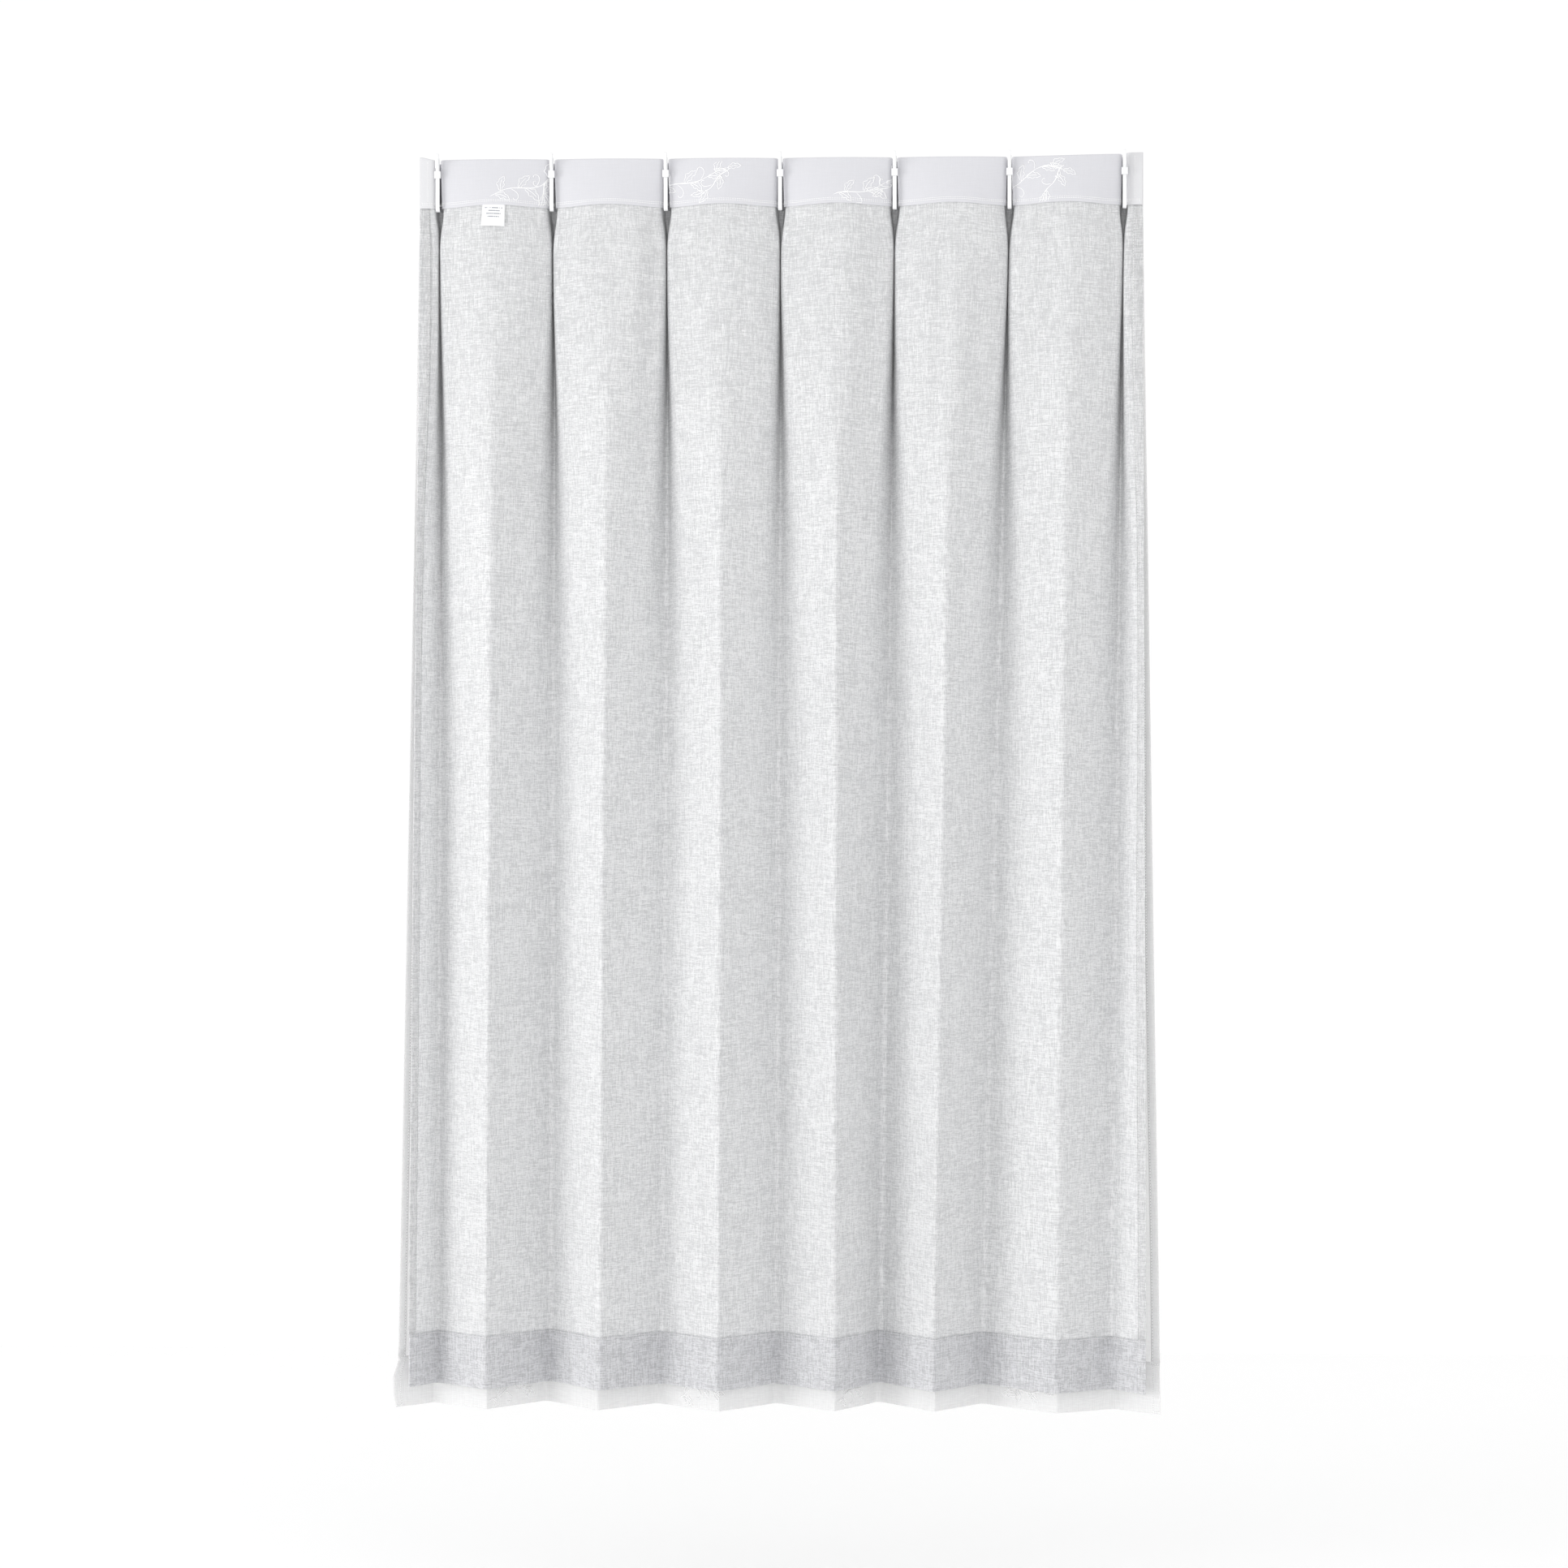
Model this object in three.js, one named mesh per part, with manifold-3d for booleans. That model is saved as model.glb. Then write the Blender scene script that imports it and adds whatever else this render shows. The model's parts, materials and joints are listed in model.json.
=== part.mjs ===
// A double-layer window curtain: a woven grey panel on the window side and a sheer panel on the
// room side, pleated together at a stiffened heading and hung on adjustable plastic hooks.
//
// Millimetres, +Z up. X runs along the rail, -Y is the window side, +Y the room side.
// The origin is on the rail line: midway between the end hooks, in the middle of the space that
// takes the runner's ring, on the inner bearing faces of the hooks' arches.

import * as THREE from 'three';
import { mergeVertices } from 'three/addons/utils/BufferGeometryUtils.js';
import Module from 'manifold-3d';

const wasm = await Module();
wasm.setup();

// ---- Driving dimensions -------------------------------------------------------------------

const HOOK_COUNT = 7;
const HOOK_PITCH = 162; // along the rail, with the curtain closed
const END_RETURN = 26; // cloth beyond each end hook
const PLEAT_DEPTH = 44; // how far a pleat stands into the room
const PLEAT_HALF_GAP = 4.5; // from a hook's centre to the grey cloth in its pleat
const HEADING_DROP = 5; // heading's top edge below the rail line
const HEADING_HEIGHT = 69;
const BOW_TOP = 6; // how far the heading bows to the window between two hooks, at its top
const BOW_FOOT = 16; // and at its lower edge

const SHEER_DROP = 1770; // heading's top edge to the sheer's lower edge
const GREY_SHORTER = 30; // the grey panel ends this far above the sheer
const GREY_HEM = 75;
const SHEER_HEM = 72;
const SIDE_HEM = 14;
const DRAPE_START = 830; // below the heading, where the folds reach their full shape

const CLOTH = 0.5; // thickness of one layer of cloth
const LAYER_GAP = 0.4; // air between layers that lie on each other
const SHEER_AIR = 14; // how far the sheer hangs behind the grey at its foot
const TURN_IN = 2; // tape and grey cloth end this far inside the heading's edges

const LABEL_WIDTH = 32;
const LABEL_DROP = 32;

const PANEL_PLANE = 14; // y of the grey cloth beside a hook
const BAR_WIDTH = 5.5;
const BAR_THICKNESS = 2.5;
const BAR_TOP = -4;
const PRONG_WIDTH = 2;
const PRONG_THICKNESS = 2;
const PRONG_LENGTH = 52;
const PRONG_SETBACK = 5; // its window face behind the panel plane
const TOE_CLEARANCE = 3; // heading's lower edge to the inside of the toe
const TOE_LAP = 1; // how far the prong's bend runs into the bar's
const RING_SPACE = 6; // between finger and riser, for the runner's ring
const FINGER_WIDTH = 4;
const FINGER_THICKNESS = 2.2;
const FINGER_LENGTH = 19;
const COLLAR_TOP = -22;
const COLLAR_HEIGHT = 10;
const COLLAR_WALL = 1.3;
const RUNNING_GAP = 0.4; // clearance of the slider round its bar

const SEAM_GAP = 0.4; // between pieces of cloth that meet edge to edge
const CREASE = 16; // cloth that turns at each side of a hanging fold's crease
const CREASE_START = 0.25; // of the turn is taken at the crease itself
const DRAPE_EASE = 1.6; // how much sooner the folds open near the heading
const SETTLING = 350; // below the heading, where the folds hang under their own middle
const HANGING_MIDDLE = 6; // of the folds, behind the panel plane
const STEPS_PER_LEG = 80;

const TACK_HEIGHT = 4;
const TACK_DEPTH = 3;
const TACK_ABOVE_EDGE = 8; // over the heading's lower edge
const TACK_CLEARANCE = 0.5; // to the cloth on each side of it

// Where each fold has drifted to at the foot, from the left end: along the rail from its place
// in the heading, and its depth, positive to the room. Ridges and valleys take turns.
const FOOT_FOLDS = [
  [-15, -26], [-5, 32], [-10, -45], [-8, 54], [-11, -46], [-9, 32], [-5, -54], [-9, 40],
  [-4, -42], [-23, 62], [-27, -40], [-39, 50], [-16, -48], [-21, 0], [3, -58],
];
const SHEER_DRIFT = [-17, -6, 0, -7, -4, -7, 1, 1, 0, -2, 2, 0, 1, 6, 14]; // and on from the grey's

const FINISHES = {
  grey: { color: 0xdcdfe1, roughness: 0.92 },
  sheer: { color: 0xf6f6f5, roughness: 0.8 },
  band: { color: 0xe6e6ea, roughness: 0.85 },
  tape: { color: 0xececea, roughness: 0.9 },
  thread: { color: 0xf8f8f6, roughness: 0.6 },
  label: { color: 0xfdfdfc, roughness: 0.55 },
  plastic: { color: 0xfafafa, roughness: 0.35 },
};

// ---- Worked out from them -----------------------------------------------------------------

const LAYER = CLOTH + LAYER_GAP; // layers are counted from the grey cloth, positive to the room
const BAND_LAYER = -2 * LAYER;
const TAPE_LAYER = -LAYER;
const SHEER_HEM_LAYER = LAYER;
const SHEER_LAYER = 2 * LAYER;

const HEADING_TOP = -HEADING_DROP;
const HEADING_FOOT = HEADING_TOP - HEADING_HEIGHT;
const TAPE_TOP = HEADING_TOP - TURN_IN;
const TAPE_FOOT = HEADING_FOOT + TURN_IN;
const SHEER_FOOT = HEADING_TOP - SHEER_DROP;
const GREY_FOOT = SHEER_FOOT + GREY_SHORTER;
const FREE_DROP = HEADING_FOOT - SHEER_FOOT;

const LEG_COUNT = 2 * HOOK_COUNT; // a leg is the cloth between a ridge and the next valley
const FOLD_RADIUS = PLEAT_HALF_GAP;
const QUARTER_TURN = (FOLD_RADIUS * Math.PI) / 2;
const PLEAT_STRAIGHT = PLEAT_DEPTH - 2 * FOLD_RADIUS;
const PLEAT_CLOTH = PLEAT_STRAIGHT + 2 * QUARTER_TURN;
const FULL_SPAN = HOOK_PITCH / 2 - 2 * FOLD_RADIUS; // flat part of a leg, from a ridge
const LABEL_TOP = TAPE_FOOT - SEAM_GAP;
const LABEL_FOOT = LABEL_TOP - LABEL_DROP;
const LEVELS = [HEADING_FOOT, LABEL_FOOT]
  .concat([0.07, 0.17, 0.33, 0.56, 0.78].map((share) => HEADING_FOOT - share * FREE_DROP));

const BAR_FRONT = RING_SPACE / 2 + FINGER_THICKNESS + RUNNING_GAP;
const BAR_BACK = BAR_FRONT + BAR_THICKNESS;
const PRONG_FRONT = PANEL_PLANE + PRONG_SETBACK;
const PRONG_BACK = PRONG_FRONT + PRONG_THICKNESS;

const sum = (values) => values.reduce((total, value) => total + value, 0);

const hookX = (number) => (number - (HOOK_COUNT + 1) / 2) * HOOK_PITCH;
const mix = (a, b, share) => a + (b - a) * share;
const clamp01 = (value) => Math.min(1, Math.max(0, value));
const smooth = (value) => value * value * (3 - 2 * value);
const isEndLeg = (leg) => leg === 0 || leg === LEG_COUNT - 1;
const headingWidth = (leg) => (isEndLeg(leg) ? END_RETURN : HOOK_PITCH / 2);
const headingLength = (leg) => headingWidth(leg) - 2 * FOLD_RADIUS + PLEAT_CLOTH;

// ---- The hanging cloth's cross-section ----------------------------------------------------

// Angle between the cloth and the rail in the heading, at a distance from the ridge.
function headingAngle(distance, length, bow) {
  const curvature = (2 * bow) / FULL_SPAN ** 2;
  const flat = length - PLEAT_CLOTH;
  const fromTip = length - distance;
  if (distance <= flat) return curvature * distance;
  if (distance <= flat + QUARTER_TURN) {
    return mix(curvature * flat, Math.PI / 2, (distance - flat) / QUARTER_TURN);
  }
  if (fromTip >= QUARTER_TURN) return Math.PI / 2;
  return (Math.PI / 2) * (fromTip / QUARTER_TURN);
}

// The same in the free folds, which are straight between two soft creases.
function drapeAngle(distance, length, steepness) {
  const fromCrease = Math.min(distance, length - distance);
  return steepness * smooth(clamp01(CREASE_START + fromCrease / CREASE));
}

// The folds' places along the rail and the cloth in each leg, at a height.
function foldsAt(z, drift, foot) {
  const down = clamp01((HEADING_FOOT - z) / (HEADING_FOOT - foot));
  const heading = [hookX(1) - END_RETURN];
  for (let leg = 0; leg < LEG_COUNT; leg++) heading.push(heading[leg] + headingWidth(leg));
  const ends = heading.map((x, fold) => {
    const [along, depth] = FOOT_FOLDS[fold % FOOT_FOLDS.length];
    return { x: x + along + drift[fold % drift.length], depth };
  });
  const legs = Array.from({ length: LEG_COUNT }, (_, leg) => leg);
  const chords = legs.map((leg) => {
    return Math.hypot(ends[leg + 1].x - ends[leg].x, ends[leg + 1].depth - ends[leg].depth);
  });
  const spare = sum(legs.map(headingLength)) / sum(chords);
  return {
    x: heading.map((x, fold) => mix(x, ends[fold].x, down)),
    length: legs.map((leg) => mix(headingLength(leg), chords[leg] * spare, down)),
  };
}

// One leg from its ridge, in equal steps. Its angles are eased until it spans its width.
function shapeLeg(length, width, z) {
  const bow = mix(BOW_TOP, BOW_FOOT, clamp01((HEADING_TOP - z) / HEADING_HEIGHT));
  const fallen = clamp01((HEADING_FOOT - z) / DRAPE_START);
  const draped = 1 - (1 - fallen) ** DRAPE_EASE;
  const steepness = Math.acos(Math.min(1, width / length));
  const step = length / STEPS_PER_LEG;
  const walk = (ease) => {
    const points = [{ x: 0, y: 0, angle: 0 }];
    for (let i = 0; i < STEPS_PER_LEG; i++) {
      const middle = (i + 0.5) * step;
      const hanging = drapeAngle(middle, length, steepness);
      const angle = ease * mix(headingAngle(middle, length, bow), hanging, draped);
      const { x, y } = points[i];
      points.push({ x: x + step * Math.cos(angle), y: y + step * Math.sin(angle), angle });
    }
    return points;
  };
  let low = 0.3;
  let high = 1.7;
  for (let i = 0; i < 30; i++) {
    const ease = (low + high) / 2;
    if (walk(ease)[STEPS_PER_LEG].x > width) low = ease;
    else high = ease;
  }
  return walk(low);
}

// A point of a leg at a share of the way from its ridge to its valley.
function onLeg(points, share) {
  const place = share * STEPS_PER_LEG;
  const i = Math.min(STEPS_PER_LEG - 1, Math.floor(place));
  const next = points[i + 1];
  const isCrease = share < 0.001 || share > 0.999;
  return {
    x: mix(points[i].x, next.x, place - i),
    y: mix(points[i].y, next.y, place - i),
    angle: isCrease ? 0 : mix(points[Math.max(1, i)].angle, next.angle, 0.5),
  };
}

// The cross-section at a height, as a function of leg and share that gives a point and its
// room-side normal. The heading is held at the hooks; lower down the folds hang under its middle.
function crossSection(z, drift, foot) {
  const folds = foldsAt(z, drift, foot);
  const legs = folds.length.map((length, leg) => {
    return shapeLeg(length, folds.x[leg + 1] - folds.x[leg], z);
  });
  const foldY = [0];
  legs.forEach((points, leg) => {
    const depth = points[STEPS_PER_LEG].y;
    foldY.push(leg % 2 === 0 ? foldY[leg] + depth : foldY[leg] - depth);
  });
  const place = (leg, share) => {
    const fromLeft = leg % 2 === 0;
    const at = onLeg(legs[leg], share);
    const side = fromLeft ? 1 : -1;
    const ridge = fromLeft ? leg : leg + 1;
    return {
      x: folds.x[ridge] + side * at.x,
      y: foldY[ridge] + at.y,
      normal: [-side * Math.sin(at.angle), Math.cos(at.angle)],
    };
  };
  const inner = Array.from({ length: LEG_COUNT - 2 }, (_, i) => i + 1);
  const besideHooks = inner.map((leg) => place(leg, 1 - PLEAT_CLOTH / headingLength(leg)).y);
  const middles = inner.map((leg) => sum(legs[leg].map((point) => point.y)) / (STEPS_PER_LEG + 1)
    + foldY[leg % 2 === 0 ? leg : leg + 1]);
  const held = PANEL_PLANE - sum(besideHooks) / inner.length;
  const hung = PANEL_PLANE + HANGING_MIDDLE - sum(middles) / inner.length;
  const shift = mix(held, hung, smooth(clamp01((HEADING_FOOT - z) / SETTLING)));
  return (leg, share) => {
    const at = place(leg, share);
    return { ...at, y: at.y + shift };
  };
}

// ---- Cloth solids -------------------------------------------------------------------------

// Marks across a leg, as shares from its ridge, that every layer of cloth has in common.
function legMarks(leg) {
  const length = headingLength(leg);
  const flat = length - PLEAT_CLOTH;
  const half = LABEL_WIDTH / 2;
  const across = isEndLeg(leg) ? [0, SIDE_HEM / 2, SIDE_HEM, flat] : [0, half, (half + flat) / 2, flat];
  const round = [flat + QUARTER_TURN / 2, flat + QUARTER_TURN, length - QUARTER_TURN, length];
  return [...across, ...round].map((mark) => mark / length);
}

function allColumns() {
  const columns = [];
  for (let leg = 0; leg < LEG_COUNT; leg++) {
    const marks = leg % 2 === 0 ? legMarks(leg) : legMarks(leg).reverse();
    const kept = leg === LEG_COUNT - 1 ? marks : marks.slice(0, -1);
    columns.push(...kept.map((share) => [leg, share]));
  }
  return columns;
}

function sideColumns(leg) {
  const columns = legMarks(leg).slice(0, 3).map((share) => [leg, share]);
  return leg === 0 ? columns : columns.reverse();
}

// Heights from a top edge to a lower one, through the levels that all layers share. A panel
// also has one at its bottom hem's upper edge.
function heights(top, foot, hem = 0) {
  const end = foot + hem;
  const between = LEVELS.filter((level) => level < top - 1 && level > end + 1);
  return hem > 0 ? [top, ...between, end, foot] : [top, ...between, foot];
}

// Splits the squares of a box's -Y face along the same diagonal as those of its +Y face, so that
// both faces of a layer of cloth stay a layer apart where it twists.
function matchDiagonals(geometry) {
  const { start, count } = geometry.groups[3];
  const index = geometry.index.array;
  for (let i = start; i < start + count; i += 6) {
    const [a, b, d, , c] = index.slice(i, i + 6);
    index.set([a, b, c, a, c, d], i);
  }
}

// A layer of cloth, or a strip of one, as a closed solid of even thickness.
function makeCloth(name, finish, sheet, layer, columns, rows) {
  const across = columns.length - 1;
  const down = rows.length - 1;
  const geometry = new THREE.BoxGeometry(across, 1, down, across, 1, down);
  matchDiagonals(geometry);
  const lines = rows.map((z) => crossSection(z, sheet.drift, sheet.foot));
  const position = geometry.attributes.position;
  for (let i = 0; i < position.count; i++) {
    const column = Math.round(position.getX(i) + across / 2);
    const row = Math.round(down / 2 - position.getZ(i));
    const offset = layer + Math.sign(position.getY(i)) * (CLOTH / 2);
    const { x, y, normal } = lines[row](...columns[column]);
    const back = sheet.air * smooth(clamp01((HEADING_FOOT - rows[row]) / DRAPE_START));
    position.setXYZ(i, x + offset * normal[0], y + offset * normal[1] + back, rows[row]);
  }
  geometry.computeVertexNormals();
  return makeMesh(name, finish, geometry);
}

// ---- Plastic hooks ------------------------------------------------------------------------

function toSolid(geometry) {
  const bare = geometry.index ? geometry.toNonIndexed() : geometry.clone();
  bare.deleteAttribute('normal');
  bare.deleteAttribute('uv');
  const merged = mergeVertices(bare);
  const vertProperties = new Float32Array(merged.attributes.position.array);
  const triVerts = new Uint32Array(merged.index.array);
  return new wasm.Manifold(new wasm.Mesh({ numProp: 3, vertProperties, triVerts }));
}

function joined(first, second) {
  const mesh = toSolid(first).add(toSolid(second)).getMesh();
  const geometry = new THREE.BufferGeometry();
  geometry.setAttribute('position', new THREE.BufferAttribute(mesh.vertProperties, 3));
  geometry.setIndex(new THREE.BufferAttribute(mesh.triVerts, 1));
  geometry.computeVertexNormals();
  return geometry;
}

// A side view, drawn with y across and z up, made as wide as given about the hook's middle plane.
function fromSideView(outline, width) {
  const options = { depth: width, bevelEnabled: false, curveSegments: 5 };
  const geometry = new THREE.ExtrudeGeometry(outline, options);
  geometry.translate(0, 0, -width / 2);
  const sideways = new THREE.Matrix4().makeBasis(
    new THREE.Vector3(0, 1, 0),
    new THREE.Vector3(0, 0, 1),
    new THREE.Vector3(1, 0, 0),
  );
  return geometry.applyMatrix4(sideways);
}

// The bar that the slider runs on, turned up under the heading into the prong in the pleat.
function stemGeometry() {
  const bend = (PRONG_FRONT - BAR_BACK) / 2;
  const middle = (PRONG_FRONT + BAR_BACK) / 2;
  const bendZ = HEADING_FOOT - TOE_CLEARANCE + bend;
  const footZ = bendZ - bend - PRONG_THICKNESS;
  const drop = bendZ - footZ;

  const bar = new THREE.Shape();
  bar.moveTo(BAR_FRONT, BAR_TOP);
  bar.lineTo(BAR_FRONT, bendZ);
  bar.absellipse(middle, bendZ, middle - BAR_FRONT, drop, Math.PI, 1.5 * Math.PI, false);
  bar.lineTo(middle, footZ + PRONG_THICKNESS);
  bar.absarc(middle, bendZ, bend, 1.5 * Math.PI, Math.PI, true);
  bar.lineTo(BAR_BACK, BAR_TOP);
  bar.closePath();

  const prong = new THREE.Shape();
  prong.moveTo(middle - TOE_LAP, footZ);
  prong.lineTo(middle, footZ);
  prong.absellipse(middle, bendZ, PRONG_BACK - middle, drop, 1.5 * Math.PI, 2 * Math.PI, false);
  prong.lineTo(PRONG_BACK, bendZ + PRONG_LENGTH - PRONG_THICKNESS);
  prong.lineTo((PRONG_FRONT + PRONG_BACK) / 2, bendZ + PRONG_LENGTH);
  prong.lineTo(PRONG_FRONT, bendZ + PRONG_LENGTH - PRONG_THICKNESS);
  prong.lineTo(PRONG_FRONT, bendZ);
  prong.absarc(middle, bendZ, bend, 2 * Math.PI, 1.5 * Math.PI, true);
  prong.lineTo(middle - TOE_LAP, footZ + PRONG_THICKNESS);
  prong.closePath();
  return joined(fromSideView(bar, BAR_WIDTH), fromSideView(prong, PRONG_WIDTH));
}

// The slider: a collar round the bar, a riser, and an arch that comes down as the finger.
function sliderGeometry() {
  const front = -RING_SPACE / 2;
  const back = RING_SPACE / 2;
  const crown = new THREE.Shape();
  crown.moveTo(front, 0);
  crown.lineTo(back, 0);
  crown.lineTo(back, COLLAR_TOP - COLLAR_HEIGHT / 2);
  crown.lineTo(back + FINGER_THICKNESS, COLLAR_TOP - COLLAR_HEIGHT / 2);
  crown.absarc(back, 0, FINGER_THICKNESS, 0, Math.PI / 2, false);
  crown.absarc(front, 0, FINGER_THICKNESS, Math.PI / 2, Math.PI, false);
  crown.lineTo(front - FINGER_THICKNESS, -FINGER_LENGTH);
  crown.lineTo(front, -FINGER_LENGTH);
  crown.closePath();

  const insideX = BAR_WIDTH / 2 + RUNNING_GAP;
  const outsideX = insideX + COLLAR_WALL;
  const insideBack = BAR_BACK + RUNNING_GAP;
  const ring = rectangle(new THREE.Shape(), -outsideX, back, outsideX, insideBack + COLLAR_WALL);
  ring.holes.push(rectangle(new THREE.Path(), -insideX, back + FINGER_THICKNESS, insideX, insideBack));
  const collar = new THREE.ExtrudeGeometry(ring, { depth: COLLAR_HEIGHT, bevelEnabled: false });
  collar.translate(0, 0, COLLAR_TOP - COLLAR_HEIGHT);
  return joined(collar, fromSideView(crown, FINGER_WIDTH));
}

function rectangle(path, left, low, right, high) {
  path.moveTo(left, low);
  path.lineTo(right, low);
  path.lineTo(right, high);
  path.lineTo(left, high);
  path.closePath();
  return path;
}

// The bar of thread that holds a pleat's two sides together, across the pleat.
function tackGeometry() {
  const insideWall = PLEAT_HALF_GAP + BAND_LAYER - CLOTH / 2;
  const width = 2 * (insideWall - TACK_CLEARANCE);
  const geometry = new THREE.CylinderGeometry(0.5, 0.5, width, 10);
  geometry.rotateZ(Math.PI / 2);
  geometry.scale(1, TACK_DEPTH, TACK_HEIGHT);
  return geometry;
}

// ---- The curtain --------------------------------------------------------------------------

function makeMesh(name, finish, geometry) {
  const material = new THREE.MeshStandardMaterial({ ...FINISHES[finish], metalness: 0 });
  const mesh = new THREE.Mesh(geometry, material);
  mesh.name = name;
  return mesh;
}

function addCloth(group) {
  const grey = { drift: [0], foot: GREY_FOOT, air: 0 };
  const sheer = { drift: SHEER_DRIFT, foot: SHEER_FOOT, air: SHEER_AIR };
  const across = allColumns();
  const add = (...details) => group.add(makeCloth(...details));
  add('header_band', 'band', grey, BAND_LAYER, across, [HEADING_TOP, HEADING_FOOT]);
  add('header_tape', 'tape', grey, TAPE_LAYER, across, [TAPE_TOP, TAPE_FOOT]);
  add('grey_panel', 'grey', grey, 0, across, heights(TAPE_TOP, GREY_FOOT, GREY_HEM));
  add('sheer_panel', 'sheer', sheer, SHEER_LAYER, across, heights(HEADING_TOP, SHEER_FOOT, SHEER_HEM));
  add('grey_bottom_hem', 'grey', grey, TAPE_LAYER, across, [GREY_FOOT + GREY_HEM, GREY_FOOT]);
  add('sheer_bottom_hem', 'sheer', sheer, SHEER_HEM_LAYER, across, [SHEER_FOOT + SHEER_HEM, SHEER_FOOT]);

  const greySide = heights(HEADING_FOOT - SEAM_GAP, GREY_FOOT + GREY_HEM + SEAM_GAP);
  const sheerSide = heights(TAPE_TOP, SHEER_FOOT + SHEER_HEM + SEAM_GAP);
  [['left', 0], ['right', LEG_COUNT - 1]].forEach(([side, leg]) => {
    const columns = sideColumns(leg);
    add(`grey_side_hem_${side}`, 'grey', grey, TAPE_LAYER, columns, greySide);
    add(`sheer_side_hem_${side}`, 'sheer', sheer, SHEER_HEM_LAYER, columns, sheerSide);
  });

  const share = legMarks(1)[1];
  const labelColumns = [[1, share], [1, 0], [2, share]];
  add('care_label', 'label', grey, TAPE_LAYER, labelColumns, [LABEL_TOP, HEADING_FOOT, LABEL_FOOT]);
}

function addHooks(group) {
  const stem = stemGeometry();
  const slider = sliderGeometry();
  const tack = tackGeometry();
  for (let number = 1; number <= HOOK_COUNT; number++) {
    const hook = new THREE.Group();
    hook.position.x = hookX(number);
    const thread = makeMesh(`pleat_tack_${number}`, 'thread', tack);
    thread.position.y = (PRONG_BACK + PANEL_PLANE + PLEAT_DEPTH) / 2;
    thread.position.z = HEADING_FOOT + TACK_ABOVE_EDGE;
    hook.add(makeMesh(`hook_stem_${number}`, 'plastic', stem));
    hook.add(makeMesh(`hook_slider_${number}`, 'plastic', slider));
    hook.add(thread);
    group.add(hook);
  }
}

const group = new THREE.Group();
addCloth(group);
addHooks(group);

export default group;
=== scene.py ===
"""A double-layer window curtain: grey slubbed cloth on the window side and an embroidered voile on the
room side, pleated into one stiffened heading and hung on adjustable plastic hooks. Metres, +Z up."""
import json
import math

import bmesh
import bpy
import numpy as np
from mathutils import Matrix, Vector


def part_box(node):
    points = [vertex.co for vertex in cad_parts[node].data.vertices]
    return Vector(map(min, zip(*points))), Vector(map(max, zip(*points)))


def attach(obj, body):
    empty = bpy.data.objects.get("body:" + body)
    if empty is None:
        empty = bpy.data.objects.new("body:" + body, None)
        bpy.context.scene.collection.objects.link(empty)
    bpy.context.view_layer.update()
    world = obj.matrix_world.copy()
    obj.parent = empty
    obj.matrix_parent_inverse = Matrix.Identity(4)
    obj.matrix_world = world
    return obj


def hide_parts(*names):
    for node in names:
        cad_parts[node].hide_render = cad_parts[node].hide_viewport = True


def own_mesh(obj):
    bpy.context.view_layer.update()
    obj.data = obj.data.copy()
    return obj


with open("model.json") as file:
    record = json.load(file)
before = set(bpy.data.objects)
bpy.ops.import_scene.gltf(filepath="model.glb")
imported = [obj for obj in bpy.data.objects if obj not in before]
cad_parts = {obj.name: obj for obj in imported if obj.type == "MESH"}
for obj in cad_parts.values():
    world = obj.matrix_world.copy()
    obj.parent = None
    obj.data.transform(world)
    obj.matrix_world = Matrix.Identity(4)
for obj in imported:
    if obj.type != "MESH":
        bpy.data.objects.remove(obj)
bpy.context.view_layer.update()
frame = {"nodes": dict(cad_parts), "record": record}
scene = bpy.context.scene
MM = 0.001


# ---- Camera and light -----------------------------------------------------------------------

VIEW_DISTANCE = 6.685
VIEW_ANGLE = math.radians(18.8)
VIEW_TURN = math.radians(2.7)  # the right end is a little nearer
VIEW_TARGET = Vector((0.006, 0.0, -0.8905))


def set_camera():
    camera = bpy.data.objects.new("camera", bpy.data.cameras.new("camera"))
    camera.data.sensor_width = 36
    camera.data.lens = 18 / math.tan(VIEW_ANGLE / 2)
    camera.data.clip_end = 60
    away = Vector((math.sin(VIEW_TURN), -math.cos(VIEW_TURN), 0))
    camera.location = VIEW_TARGET + VIEW_DISTANCE * away
    camera.rotation_euler = (-away).to_track_quat("-Z", "Y").to_euler()
    scene.collection.objects.link(camera)
    scene.camera = camera


def add_softbox(name, place, target, size, watts):
    lamp = bpy.data.lights.new(name, "AREA")
    lamp.shape = "RECTANGLE"
    lamp.size, lamp.size_y = size
    lamp.energy = watts
    box = bpy.data.objects.new(name, lamp)
    box.location = place
    box.rotation_euler = (Vector(target) - Vector(place)).to_track_quat("-Z", "Y").to_euler()
    scene.collection.objects.link(box)


def light_studio():
    world = bpy.data.worlds.new("studio")
    world.use_nodes = True
    background = world.node_tree.nodes["Background"]
    background.inputs["Color"].default_value = (1.0, 1.0, 1.0, 1)
    background.inputs["Strength"].default_value = 1.01
    scene.world = world
    add_softbox("window_key", (-4.6, -3.0, -1.2), (0, 0, -0.9), (2.4, 2.6), 96)
    add_softbox("low_fill", (0.6, -4.4, -1.9), (0, 0, -1.6), (2.6, 1.4), 18)
    scene.view_settings.view_transform = "Standard"


# ---- Sizes ----------------------------------------------------------------------------------

def box_z(node):
    low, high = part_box(node)
    return low.z, high.z


HOOK_X = [m["pos_m"][0] for m in frame["record"]["mounts"] if m["name"].startswith("ring_seat")]
HOOKS = len(HOOK_X)
PITCH = HOOK_X[1] - HOOK_X[0]
HEADING_FOOT, HEADING_TOP = box_z("header_band")
GREY_FOOT = box_z("grey_panel")[0]
GREY_HEM_TOP = box_z("grey_bottom_hem")[1]
SHEER_FOOT = box_z("sheer_panel")[0]
SHEER_HEM_TOP = box_z("sheer_bottom_hem")[1]
END_RETURN = HOOK_X[0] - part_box("header_band")[0].x

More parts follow.
